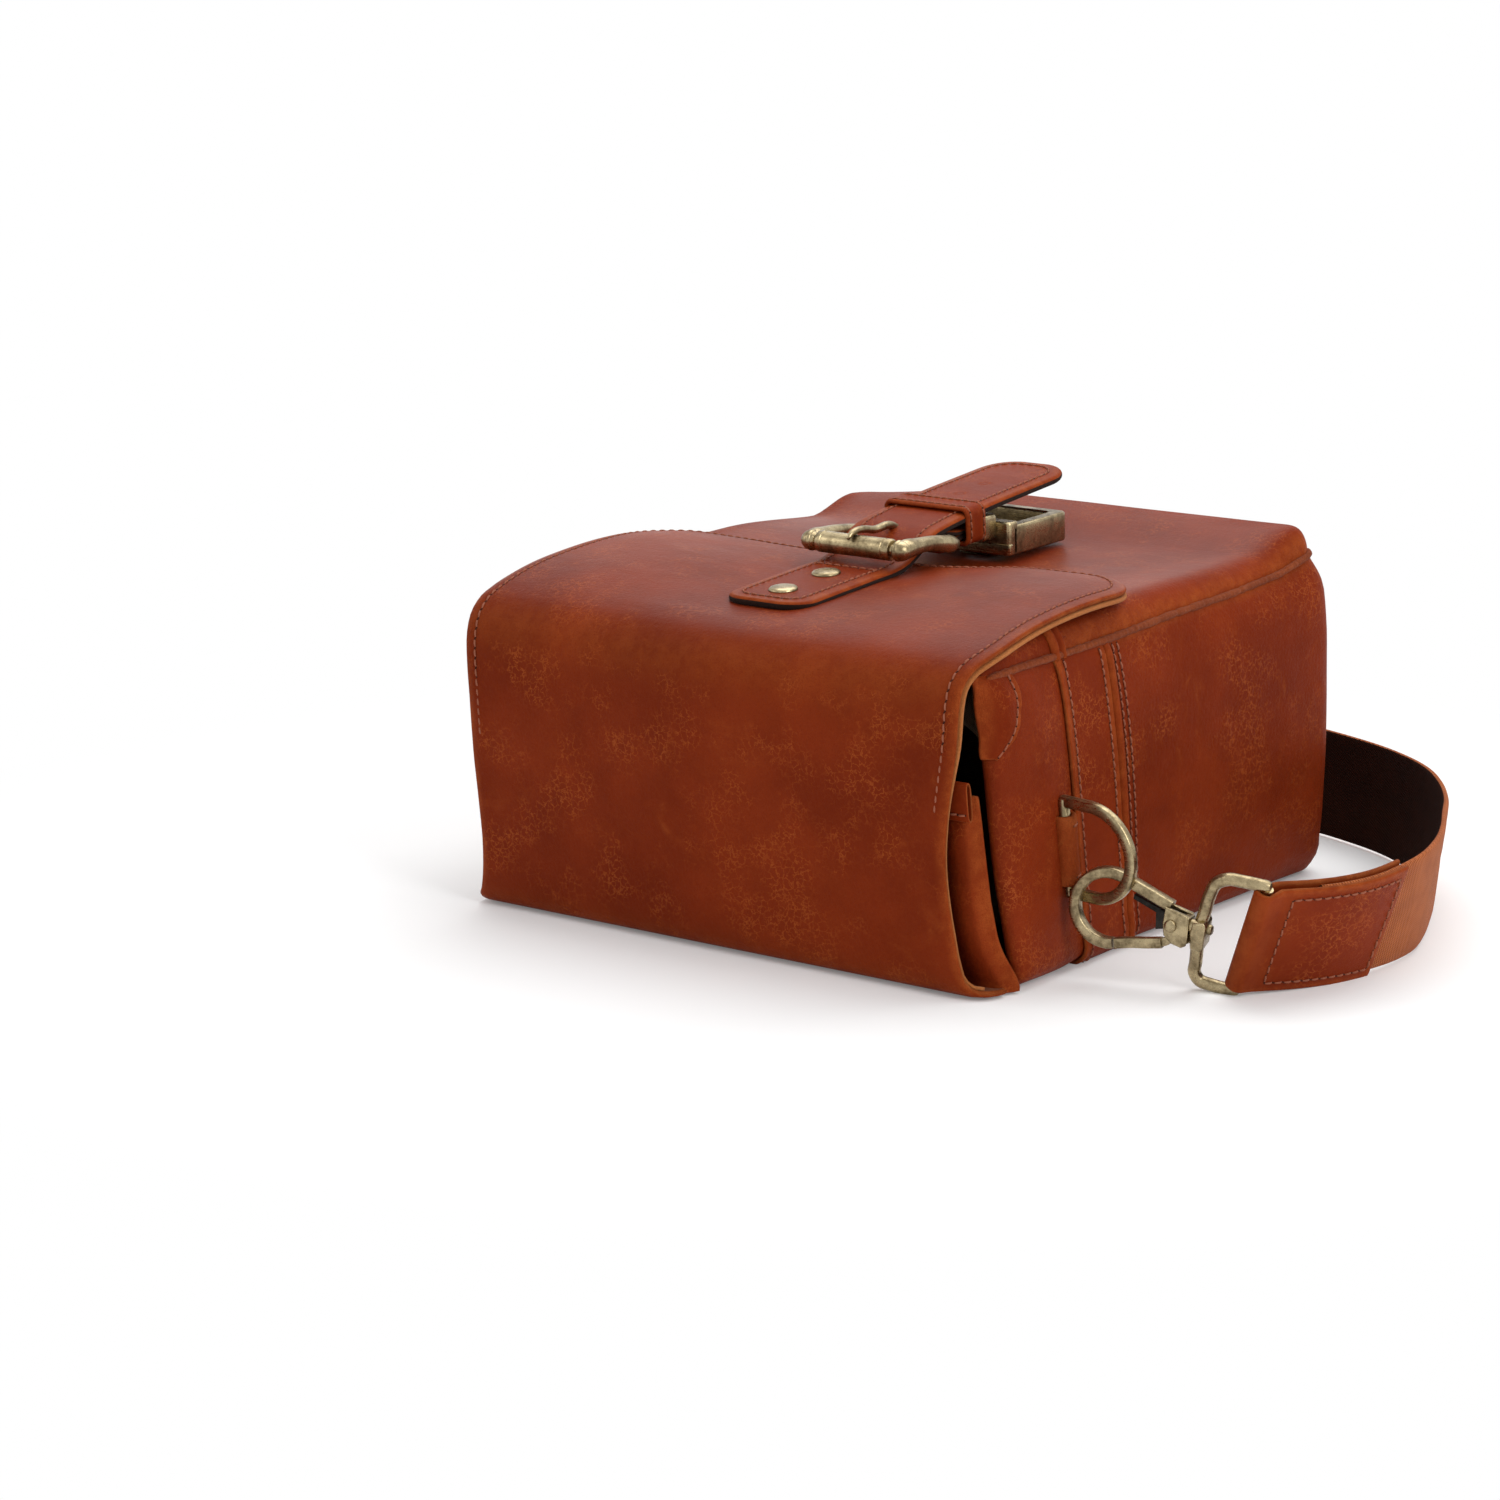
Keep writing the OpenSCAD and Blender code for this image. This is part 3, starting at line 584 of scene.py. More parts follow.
def patina():
    """Antique brass: bright where it is rubbed, brown in between, with fine scratches."""
    tree, given, out = effect(
        "patina",
        {"Place": "Vector", "Bright": "Color", "Brown": "Color"},
        {"Color": "Color", "Roughness": "Value", "Height": "Value"},
    )
    cloud = node(tree, "TexNoise", Vector=given["Place"], Scale=0.16, Detail=6.0, Roughness=0.65)
    spots = node(tree, "TexNoise", Vector=given["Place"], Scale=0.9, Detail=3.0, Roughness=0.6)
    stretch = node(tree, "Mapping", Vector=given["Place"], Scale=(0.25, 3.0, 3.0))
    hairs = node(tree, "TexNoise", Vector=stretch.outputs[0], Scale=1.0, Detail=2.0)
    aged = ramp(tree, cloud.outputs[0], 0.36, 0.66, 0, 1)
    aged = maths(tree, "MULTIPLY", aged, ramp(tree, spots.outputs[0], 0.3, 0.6, 0.55, 1))
    tree.links.new(mixed(tree, aged, given["Bright"], given["Brown"]), out["Color"])
    brushed = ramp(tree, hairs.outputs[0], 0.3, 0.7, 0.2, 0.34)
    rough = maths(tree, "ADD", brushed, maths(tree, "MULTIPLY", aged, 0.12))
    tree.links.new(rough, out["Roughness"])
    pits = maths(tree, "MULTIPLY", spots.outputs[0], 0.6)
    tree.links.new(maths(tree, "ADD", hairs.outputs[0], pits), out["Height"])
    return tree


def weave():
    """Diagonal ribs of a woven band, the place runs along and across it in millimetres."""
    tree, given, out = effect(
        "weave",
        {"Place": "Vector", "Along": "Value", "Across": "Value", "Slant": "Value"},
        {"Height": "Value", "Yarn": "Value"},
    )
    parts = node(tree, "SeparateXYZ", Vector=given["Place"]).outputs
    u = maths(tree, "MULTIPLY", parts[0], given["Along"])
    v = maths(tree, "MULTIPLY", parts[1], given["Across"])
    lean = maths(tree, "ADD", u, maths(tree, "MULTIPLY", v, given["Slant"]))
    rib = maths(tree, "ABSOLUTE", maths(tree, "SINE", lean))
    shifted = maths(tree, "SUBTRACT", v, maths(tree, "MULTIPLY", u, 0.35))
    pick = maths(tree, "ABSOLUTE", maths(tree, "SINE", shifted))
    fuzz = node(tree, "TexNoise", Vector=given["Place"], Scale=1.9, Detail=3.0)
    height = maths(tree, "ADD", maths(tree, "MULTIPLY", rib, 0.7), maths(tree, "MULTIPLY", pick, 0.45))
    height = maths(tree, "ADD", height, maths(tree, "MULTIPLY", fuzz.outputs[0], 0.35))
    tree.links.new(height, out["Height"])
    tree.links.new(ramp(tree, height, 0.35, 1.25, 0, 1), out["Yarn"])
    return tree


GROUPS = {g.__name__: g() for g in (pebble_grain, pull_up, patina, weave)}


def grouped(tree, name, **values):
    made = tree.nodes.new("ShaderNodeGroup")
    made.node_tree = GROUPS[name]
    for key, value in values.items():
        if isinstance(value, bpy.types.NodeSocket):
            tree.links.new(value, made.inputs[key])
        else:
            made.inputs[key].default_value = value
    return made.outputs


def new_finish(name, **constants):
    material = bpy.data.materials.new(name)
    material.use_nodes = True
    tree = material.node_tree
    shader = tree.nodes["Principled BSDF"]
    for key, value in constants.items():
        shader.inputs[key.replace("_", " ")].default_value = value
    return material, tree, shader.inputs


def mark(tree, name, kind="Fac"):
    return node(tree, "Attribute", attribute_name=name).outputs[kind]


def bump(tree, height, strength, distance):
    return node(tree, "Bump", Strength=strength, Distance=distance, Height=height).outputs[0]


def rgb(r, g, b):
    return (r, g, b, 1)


def hide_finish(name, deep, mid, pale, fineness=0.7, relief=0.7):
    material, tree, into = new_finish(name, Specular_IOR_Level=0.02, Coat_IOR=1.22, Coat_Roughness=0.4)
    where = mark(tree, "place", "Vector")
    tone = grouped(
        tree,
        "pull_up",
        Place=where,
        Rim=mark(tree, "rim"),
        Pull=mark(tree, "pull"),
        Deep=deep,
        Mid=mid,
        Pale=pale,
    )
    grain = grouped(tree, "pebble_grain", Place=where, Fineness=fineness)
    dark = mixed(tree, maths(tree, "MULTIPLY", grain["Pores"], 0.42), tone["Color"], deep)
    tree.links.new(dark, into["Base Color"])
    tree.links.new(tone["Roughness"], into["Roughness"])
    tree.links.new(mark(tree, "polish"), into["Coat Weight"])
    tree.links.new(bump(tree, grain["Height"], relief, 0.0005), into["Normal"])
    return material


def suede_finish(name, dark, pale):
    material, tree, into = new_finish(name, Specular_IOR_Level=0.05, Sheen_Weight=0.05, Sheen_Roughness=0.6)
    where = mark(tree, "place", "Vector")
    nap = node(tree, "TexNoise", Vector=where, Scale=1.4, Detail=6.0, Roughness=0.75)
    cloud = node(tree, "TexNoise", Vector=where, Scale=0.07, Detail=4.0)
    brushed = ramp(tree, nap.outputs[0], 0.3, 0.7, 0.25, 1)
    share = maths(tree, "MULTIPLY", brushed, ramp(tree, cloud.outputs[0], 0.3, 0.7, 0.55, 1))
    tree.links.new(mixed(tree, share, dark, pale), into["Base Color"])
    tree.links.new(ramp(tree, nap.outputs[0], 0.2, 0.8, 0.98, 0.82), into["Roughness"])
    tree.links.new(bump(tree, nap.outputs[0], 0.7, 0.0005), into["Normal"])
    return material


def brass_finish(name, bright, brown):
    material, tree, into = new_finish(name, Metallic=1.0)
    where = mark(tree, "place", "Vector")
    aged = grouped(tree, "patina", Place=where, Bright=bright, Brown=brown)
    tree.links.new(aged["Color"], into["Base Color"])
    tree.links.new(aged["Roughness"], into["Roughness"])
    tree.links.new(bump(tree, aged["Height"], 0.07, 0.0002), into["Normal"])
    return material


def woven_finish(name, dark, pale, along, across, slant, relief, sheen=0.04):
    material, tree, into = new_finish(
        name, Specular_IOR_Level=2 * sheen, Sheen_Weight=sheen, Sheen_Roughness=0.5
    )
    where = mark(tree, "weave", "Vector")
    ribs = grouped(tree, "weave", Place=where, Along=along, Across=across, Slant=slant)
    cloud = node(tree, "TexNoise", Vector=mark(tree, "place", "Vector"), Scale=0.12, Detail=5.0)
    tone = mixed(tree, ribs["Yarn"], dark, pale)
    soiled = ramp(tree, cloud.outputs[0], 0.35, 0.7, 0.0, 0.35)
    tree.links.new(mixed(tree, soiled, tone, dark), into["Base Color"])
    tree.links.new(ramp(tree, ribs["Height"], 0.3, 1.3, 0.85, 0.62), into["Roughness"])
    tree.links.new(bump(tree, ribs["Height"], relief, 0.0005), into["Normal"])
    return material


def thread_finish(name, dark, pale):
    material, tree, into = new_finish(name, Specular_IOR_Level=0.15)
    where = mark(tree, "place", "Vector")
    twist = node(
        tree, "TexWave", wave_type="BANDS", bands_direction="DIAGONAL", Vector=where, Scale=1.3, Distortion=1.5
    )
    tree.links.new(mixed(tree, twist.outputs[1], dark, pale), into["Base Color"])
    tree.links.new(ramp(tree, twist.outputs[1], 0, 1, 0.75, 0.5), into["Roughness"])
    tree.links.new(bump(tree, twist.outputs[1], 0.5, 0.0002), into["Normal"])
    return material


COGNAC = (rgb(0.155, 0.0175, 0.0036), rgb(0.235, 0.030, 0.0062), rgb(0.42, 0.098, 0.021))
finish = {
    "hide": hide_finish("cognac_hide", *COGNAC),
    "belt": hide_finish("belt_hide", *COGNAC, fineness=1.25, relief=0.26),
    "grained": hide_finish(
        "grained_hide", rgb(0.19, 0.028, 0.006), rgb(0.32, 0.062, 0.014), rgb(0.47, 0.13, 0.034), 0.75, 0.8
    ),
    "cut_edge": hide_finish(
        "burnished_edge", rgb(0.13, 0.02, 0.005), rgb(0.24, 0.05, 0.012), rgb(0.42, 0.12, 0.03), 2.0, 0.5
    ),
    "flesh": suede_finish("flesh_side", rgb(0.10, 0.022, 0.007), rgb(0.24, 0.07, 0.022)),
    "suede": suede_finish("raw_suede", rgb(0.27, 0.08, 0.02), rgb(0.46, 0.17, 0.05)),
    "fuzz": suede_finish("turned_welt", rgb(0.12, 0.02, 0.005), rgb(0.27, 0.058, 0.014)),
    # Near-black metal for the leaf in the hook's hollow: painted shade.
    "spring_shade": brass_finish("spring_painted_shade", rgb(0.03, 0.027, 0.024), rgb(0.012, 0.011, 0.01)),
    "brass": brass_finish("antique_brass", rgb(0.43, 0.345, 0.2), rgb(0.15, 0.112, 0.06)),
    "webbing": woven_finish(
        "twill_webbing", rgb(0.20, 0.045, 0.011), rgb(0.47, 0.135, 0.038), 3.1, 2.6, 1.0, 0.7
    ),
    # The webbing's face towards the bag: the same weave made near-black, painted shade.
    "webbing_inside_shade": woven_finish(
        "webbing_inner_face_shade", rgb(0.006, 0.0018, 0.0009), rgb(0.03, 0.007, 0.0025), 3.1, 2.6, 1.0, 0.7, 0.008
    ),
    "lining": woven_finish(
        "lining_cloth", rgb(0.19, 0.135, 0.085), rgb(0.38, 0.29, 0.19), 4.6, 4.6, 0.0, 0.4
    ),
    "thread": thread_finish("waxed_thread", rgb(0.19, 0.05, 0.025), rgb(0.41, 0.145, 0.082)),
    # Near-black finish for needle holes and the walls of cut holes: painted shade.
    "shade": suede_finish("needle_hole_shade", rgb(0.012, 0.005, 0.003), rgb(0.03, 0.012, 0.007)),
}
HIDE_FINISHES = [finish["hide"], finish["flesh"], finish["cut_edge"]]
BELT_FINISHES = [finish["belt"], finish["belt"], finish["cut_edge"]]


# Stitches

STITCH_PITCH = 3.5
STITCH_LONG = 2.75
STITCH_RADIUS = 0.36
SHAPE = [
    (-0.5, 0.35, -0.30), (-0.40, 0.85, 0.0), (-0.15, 1.0, 0.16),
    (0.15, 1.0, 0.16), (0.40, 0.85, 0.0), (0.5, 0.35, -0.30),
]


def stitch_row(points, up, pitch=STITCH_PITCH, first=0.5):
    """One thread stitch after another along a line, each with its two needle holes painted as near-black
    discs: painted shade in place of a hole.
    """
    points = np.asarray(points, float)
    run = np.concatenate([[0], np.cumsum(np.linalg.norm(np.diff(points, axis=0), axis=1))])
    count = max(1, int(run[-1] / pitch))
    step = run[-1] / count
    parts = []
    for k in range(count):
        s = (k + first) * step
        ends = [s - STITCH_LONG / 2, s + STITCH_LONG / 2]
        a, b = (np.array([np.interp(e, run, points[:, c]) for c in range(3)]) for e in ends)
        n = unit(np.array([np.interp(s, run, up[:, c]) for c in range(3)]))
        t = unit(b - a)
        side = np.cross(n, t)
        t = unit(t + 0.10 * side)
        side = np.cross(n, t)
        middle = (a + b) / 2
        rings = [
            middle
            + t * along * STITCH_LONG
            + n * (lift * 1.0 + 0.06)
            + STITCH_RADIUS * width * (side * math.cos(r) + n * math.sin(r))
            for along, width, lift in SHAPE
            for r in np.linspace(0, 2 * math.pi, 6, endpoint=False)
        ]
        loops = [tuple(reversed(f)) for f in grid_faces(len(SHAPE), 6, wrap=True)]
        parts.append((np.array(rings), loops, 0))
        # Each needle hole is a flat disc in the near-black shade finish: painted shade, not a hole.
        for end in (-0.52, 0.52):
            hole = middle + t * end * STITCH_LONG + n * 0.06
            ring = [
                hole + 0.34 * (side * math.cos(r) + t * math.sin(r))
                for r in np.linspace(0, 2 * math.pi, 6, endpoint=False)
            ]
            parts.append((np.array(ring), [tuple(reversed(range(6)))], 1))
    return parts


def sew(name, rows):
    """All the stitch rows of one piece."""
    parts = [p for row in rows for p in row]
    verts, faces = joined([(p, f) for p, f, _ in parts])
    which = [w for _, f, w in parts for _ in f]
    return make(name, verts, faces, [finish["thread"], finish["shade"]], finish_of=which)


def on_surface(surface, u, v, step=0.4):
    """Points and outward directions along a line on a surface given by two numbers."""
    u, v = np.broadcast_arrays(np.asarray(u, float), np.asarray(v, float))
    p = surface(u, v)
    n = unit(np.cross(surface(u + step, v) - p, surface(u, v + step) - p))
    return p, n


# Shoulder strap: its route on the floor, with the height of its lower edge and its lean

ROUTE = np.array([
    [166.4, -46.2, 2.4, 25], [169.4, -41.4, 2.2, 25], [173.2, -34.6, 1.8, 25], [177.2, -26, 1.4, 24.5],
    [180.8, -15.6, 1.0, 23], [183.6, -2.8, 0.8, 20], [185.2, 12, 0.7, 16], [183.6, 30, 0.6, 11],
    [177.8, 47, 0.5, 9], [170, 65, 0.5, 7], [161, 84, 0.5, 6], [149.5, 104, 0.5, 4],
    [134, 123, 0.5, 3], [113, 140, 0.5, 1], [84, 154, 0.5, 0], [48, 164.5, 0.5, 0],
    [6, 172, 0.5, 0], [-36, 175, 0.5, 0], [-72, 178, 0.5, 0], [-94, 187, 0.5, 0],
    [-103, 203, 0.5, 0], [-97, 219, 0.5, 0], [-78, 227, 0.5, 0], [-26, 231, 0.5, 0],
    [-10, 241, 0.5, 0], [-7, 257, 0.5, 0], [-17, 270, 0.5, 0], [-42, 276, 0.5, 0],
    [-82, 276, 0.5, 0], [-128, 264, 0.5, 0], [-161, 238, 0.5, 0], [-177, 204, 0.5, 0],
    [-180, 166, 0.5, 0], [-174, 128, 0.5, 1], [-164, 98, 0.7, 3], [-152, 72, 1.2, 6],
    [-141, 50, 2.4, 10], [-134, 33, 4.2, 14], [-128.5, 18, 6.8, 17], [-124, 6.5, 9, 19],
    [-121.6, -0.9, 10.2, 19],
])
route = Curve(ROUTE)


def on_strap(s, side, up):
    """Points of the strap: along its route, sideways from its middle, up from its lower edge."""
    s, side, up = np.broadcast_arrays(np.asarray(s, float), side, up)
    s = s + 2.5 * (1 - smooth(40, 130, s)) * up / STRAP_WIDTH
    at_s, ahead = route(s), route(np.minimum(s + 0.5, route.length)) - route(np.maximum(s - 0.5, 0))
    t = unit(ahead[..., :2])
    lean = np.radians(at_s[..., 3])
    n = up * np.sin(lean) + side * np.cos(lean)
    return np.stack(
        [
            at_s[..., 0] + n * t[..., 1],
            at_s[..., 1] - n * t[..., 0],
            at_s[..., 2] + up * np.cos(lean) - side * np.sin(lean),
        ],
        -1,
    )


RIGHT_TAB = [0, route.knots[5]]
LEFT_TAB = [route.length, route.knots[-5]]
BAR_ENDS = ((44.2, -18.6, 0), (53.6, 18.8, 0))


def loop_bar(frame):
    """Low and high end of the leather fold on the bar of a wire loop."""
    ends = moved(frame, BAR_ENDS)
    return (ends[0], ends[1]) if ends[0][2] < ends[1][2] else (ends[1], ends[0])


def make_webbing():
    """Flat webbing with rounded selvedges, from the right tab to the left one; its face towards the bag is
    painted near-black as shade.
    """
    stations = np.linspace(route.knots[2], route.knots[-3], 420)
    half, edge = WEBBING / 2, 0.75
    section = [(-half, 1.2), *[(-half + 0.12 * math.sin(k), k) for k in (4, 10, 16, 20, 24, 30, 36)]]
    section += [(-half, 38.8), (-half + edge * 0.5, 39.7), (0, 40), (half - edge * 0.5, 39.7), (half, 38.8)]
    section += [(half - 0.12 * math.sin(k), k) for k in (36, 30, 24, 20, 16, 10, 4)]
    section += [(half, 1.2), (half - edge * 0.5, 0.3), (0, 0), (-half + edge * 0.5, 0.3)]
    side, up = np.array(section).T
    verts = on_strap(stations[:, None], side[None], up[None])
    count = len(section)
    faces = grid_faces(len(stations), count, wrap=True)
    faces += [tuple(range(count)), tuple((len(stations) - 1) * count + k for k in reversed(range(count)))]
    along = np.stack(np.broadcast_arrays(stations[:, None], up[None], 0 * side[None]), -1)
    # Faces on the side towards the bag get the near-black finish: painted shade.
    shaded_inside = [side[f[0] % count] + side[f[2] % count] < -1 for f in faces]
    both = [finish["webbing"], finish["webbing_inside_shade"]]
    piece = make("shoulder_webbing", verts, faces, both, finish_of=shaded_inside, weave=along.reshape(-1, 3))
    return ride(piece, "bag", "webbing", "strap_webbing")


def tab_line(tab, low, high):
    """Outer line of a folded tab, from the webbing's far face round the bar to its near face."""
    start, end = tab
    stations = np.linspace(end, start, 24)
    b = WEBBING / 2 + TAB_HIDE
    inner = np.linspace(2.8, STRAP_WIDTH - 2.8, 22)
    ups = np.concatenate([[0, 0.8, 1.8], inner, STRAP_WIDTH - np.array([1.8, 0.8, 0])])
    near = on_strap(stations[:, None], b, ups[None])
    far = on_strap(stations[::-1, None], -b, ups[None])
    out = unit(on_strap(start, 1, 0) - on_strap(start, 0, 0))
    step = -1 if start > end else 1
    away = unit(on_strap(start, 0, 0) - on_strap(start + step, 0, 0))
    bar = low[None] + (high - low)[None] * (ups / STRAP_WIDTH)[:, None]
    radius = WIRE + 0.2 + TAB_HIDE
    bend = [bar + radius * (out * math.cos(a) + away * math.sin(a)) for a in np.linspace(0, math.pi, 13)]
    return np.concatenate([near, np.array(bend), far])


def make_tab(name, tab, frame, node_name):
    low, high = loop_bar(frame)
    grid = tab_line(tab, low, high)
    rows, columns = grid.shape[:2]
    across = np.linspace(0, STRAP_WIDTH, columns)
    centre = grid[:, columns // 2]
    run = np.cumsum(np.linalg.norm(np.diff(centre, axis=0, prepend=centre[:1]), axis=1))
    rim = np.minimum(np.minimum(across, STRAP_WIDTH - across)[None], np.minimum(run, run[-1] - run)[:, None])
    folded = np.exp(-(((np.arange(rows) - rows / 2) / 8) ** 2))
    piece = hide_sheet(
        name,
        grid,
        TAB_HIDE,
        BELT_FINISHES,
        rim=rim,
        pull=np.repeat(folded[:, None] * 0.5, columns, 1),
        polish=0 * rim + 0.14,
        middle=grid.mean((0, 1)),
    )
    ride(piece, "bag", "leather", node_name)
    inset, rows_of_thread = 3.0, []
    lift = WEBBING / 2 + TAB_HIDE
    start = tab[0] + (tab[1] - tab[0]) * 0.08
    end = tab[1] + (tab[0] - tab[1]) * 0.05
    for face in (1, -1):
        for up in (inset, STRAP_WIDTH - inset):
            s = np.linspace(start, end, 40)
            p = on_strap(s, face * lift, up)
            rows_of_thread.append(stitch_row(p, unit(on_strap(s, face * (lift + 1), up) - p)))
        for s in (start, end):
            ups = np.linspace(inset, STRAP_WIDTH - inset, 20)
            p = on_strap(s, face * lift, ups)
            rows_of_thread.append(stitch_row(p, unit(on_strap(s, face * (lift + 1), ups) - p)))
    thread = ride(sew(name + "_stitches", rows_of_thread), "bag", "leather")
    return [piece, thread]


webbing = make_webbing()
tab_pieces = make_tab("strap_tab_right", RIGHT_TAB, right_loop, "strap_end_right")
tab_pieces += make_tab("strap_tab_left", LEFT_TAB, left_loop, "strap_end_left")
middle_line = on_strap(np.linspace(route.knots[2], route.knots[-3], 200), 0, STRAP_WIDTH / 2)


# Body of the bag

SIDE = Curve([
    (-9.5, 0.6), (-3.4, 0.8), (-0.5, 3.2), (0.3, 14), (0.8, 36), (1.0, 54), (0.7, 72), (-0.2, 88), (-1.2, 98),
    (-2.4, 106),
])
BASE = Curve(
    [
        (-9.5, 0.8), (-3.6, 1.8), (-0.6, 6), (1.2, 15), (2.8, 35), (3.6, 54), (3.9, 72), (3.7, 88), (2.4, 98),
        (-2.4, 106),
    ],
    knots=SIDE.knots,
)
SEAM_IN = 2.4
BACK_IN = 9.5
SEAM_TOP = 106.0
EDGE_ROLL = 11.0
FRONT_FROM = -47.0


def seam_height(y):
    """Height of the seam between the sides and the front, which rises towards the base."""
    reach = [-95, -83, -69, -40, -15, 17, 54, 84, 104]
    return np.interp(y, reach, [103.6, 104.2, 105.0, 105.6, 106.6, 108.8, 110.5, 113.0, 117.0])


def lean_of(y):
    """Slant of the sections, from the mouth to the base."""
    return np.tan(np.radians(MOUTH_SLANT + (BASE_SLANT - MOUTH_SLANT) * smooth(-40, 110, y)))


def front_height(x, y):
    """Front panel: hollow behind the mouth, full at the base."""
    hollow = np.interp(y, [-110, -50, -22, 0, 50, 90], [-8.4, -6.6, -5.8, -5.2, -3.6, -0.4])
    full = 6.6 * smooth(76, 104, y)
    side = np.clip(np.abs(x) / 97, 0, 1)
    mouth = 9.0 * (1 - smooth(-97, -66, y))
    return 117.6 + 0.022 * y - mouth + hollow * (1 - side**2.2) + full


def seam_distance(x, y, half, end, corner):
    """Distance inside the outline of a panel that is rounded at its two base corners."""
    qx = np.abs(x) - (half - corner)
    qy = y - (end - corner)
    outside = np.hypot(np.maximum(qx, 0), np.maximum(qy, 0))
    return corner - outside - np.minimum(np.maximum(qx, qy), 0)


def corner_half(y, half, end, corner):
    """Half width of such a panel."""
    past = np.clip(y - (end - corner), 0, corner)
    return half - corner + np.sqrt(np.maximum(corner**2 - past**2, 0))


def panel_rows(start, end, corner, step):
    turns = np.linspace(0, 90, 16)[1:]
    straight = end - corner
    rows = start + spread(straight - start, step)
    return np.concatenate([rows, straight + corner * np.sin(np.radians(turns)) * 0.996])


PANEL_COLUMNS = (spread(2.0 * 97, 5.0) / 97) - 1
EDGE_STEPS = 1 - 0.115 * np.linspace(0, 1, 12) ** 2
FRONT_COLUMNS = np.concatenate([-EDGE_STEPS, np.linspace(-0.86, 0.86, 37), EDGE_STEPS[::-1]])


FRONT_END = BASE_REACH - SEAM_IN
FRONT_CORNER = BASE_ROUND - SEAM_IN
FRONT_HALF = HALF_WIDTH - SEAM_IN


def rolled_front(x, y):
    """Front panel and the front of the collar: the hide rolls over the edge, down to the seam."""
    inside = np.maximum(seam_distance(x, y, FRONT_HALF, FRONT_END, FRONT_CORNER), 0)
    away = np.clip(1 - inside / (EDGE_ROLL - 5.5 * smooth(60, 100, y)), 0, 1)
    roll = np.sqrt(np.maximum(1 - away**2.2, 0))
    low = seam_height(y)
    return low + (front_height(x, y) - low) * roll


def front_surface(x, y):
    z = rolled_front(x, y)
    inside = np.maximum(seam_distance(x, y, FRONT_HALF, FRONT_END, FRONT_CORNER), 0)
    z = z + 0.5 * ripple(np.stack([x, y, 0 * x], -1), 34, 3.1) * smooth(0, 14, inside)
    return np.stack([x, y - z * lean_of(y), z], -1)


def front_panel():
    rows = panel_rows(FRONT_FROM, FRONT_END, FRONT_CORNER, 5.0)
    half = corner_half(rows, FRONT_HALF, FRONT_END, FRONT_CORNER)
    x = half[:, None] * FRONT_COLUMNS[None]
    y = np.broadcast_to(rows[:, None], x.shape)
    rim = seam_distance(x, y, FRONT_HALF, FRONT_END, FRONT_CORNER)
    polish = 0.72 * smooth(2, 16, rim)
    piece = hide_sheet("front_hide", front_surface(x, y), HIDE, HIDE_FINISHES, rim=rim, polish=polish)
    return ride(piece, "bag", "leather", "front_panel")


def outline_point(p):
    """Plan of the gusset: along the right side, round the base and back on the left."""
    straight = BASE_REACH - BASE_ROUND - RIM_FROM + 2
    quarter = BASE_ROUND * math.pi / 2
    across = 2 * (HALF_WIDTH - BASE_ROUND)
    marks = np.cumsum([0, straight, quarter, across, quarter, straight])
    p = np.asarray(p, float)
    a1 = (p - marks[1]) / BASE_ROUND
    a2 = (p - marks[3]) / BASE_ROUND
    conditions = [p < marks[1], p < marks[2], p < marks[3], p < marks[4]]
    r, w = BASE_ROUND, HALF_WIDTH - BASE_ROUND
    x = np.select(
        conditions,
        [HALF_WIDTH + 0 * p, w + r * np.cos(a1), w - (p - marks[2]), -w - r * np.sin(a2)],
        -HALF_WIDTH,
    )
    y = np.select(
        conditions,
        [
            RIM_FROM - 2 + p,
            BASE_REACH - r + r * np.sin(a1),
            BASE_REACH + 0 * p,
            BASE_REACH - r + r * np.cos(a2),
        ],
        BASE_REACH - r - (p - marks[4]),
    )
    nx = np.select(conditions, [1 + 0 * p, np.cos(a1), 0 * p, -np.sin(a2)], -1)
    ny = np.select(conditions, [0 * p, np.sin(a1), 1 + 0 * p, np.cos(a2)], 0)
    return x, y, nx, ny, marks


def gusset_surface(p, q):
    """q runs up the side in millimetres of its profile."""
    x, y, nx, ny, _ = outline_point(p)
    share = smooth(0, 95, y)[..., None]
    profile = SIDE(q) * (1 - share) + BASE(q) * share
    off, z = profile[..., 0], profile[..., 1]
    top = seam_height(y - 2) / SEAM_TOP
    z = z * (1 + (top - 1) * smooth(40, SEAM_TOP, z))
    puff = 1.6 * np.sin(np.pi * np.clip(z / 118, 0, 1)) * np.exp(-(((y - 30) / 60) ** 2)) * np.abs(nx)
    off = off + puff + 0.45 * ripple(np.stack([x, y, z], -1), 38, 7.7)
    x, y = x + nx * off, y + ny * off
    return np.stack([x, y - z * lean_of(y), z], -1)


def gusset():
    marks = outline_point(0.0)[4]
    runs = [np.linspace(a, b, max(12, int((b - a) / 5))) for a, b in zip(marks, marks[1:])]
    stations = np.unique(np.concatenate(runs))
    heights = spread(SIDE.length, 4.0)
    p, q = np.meshgrid(stations, heights, indexing="ij")
    rim = np.minimum(q, SIDE.length - q)
    piece = hide_sheet("gusset_hide", gusset_surface(p, q), HIDE, HIDE_FINISHES, rim=rim)
    return ride(piece, "bag", "leather", "gusset")


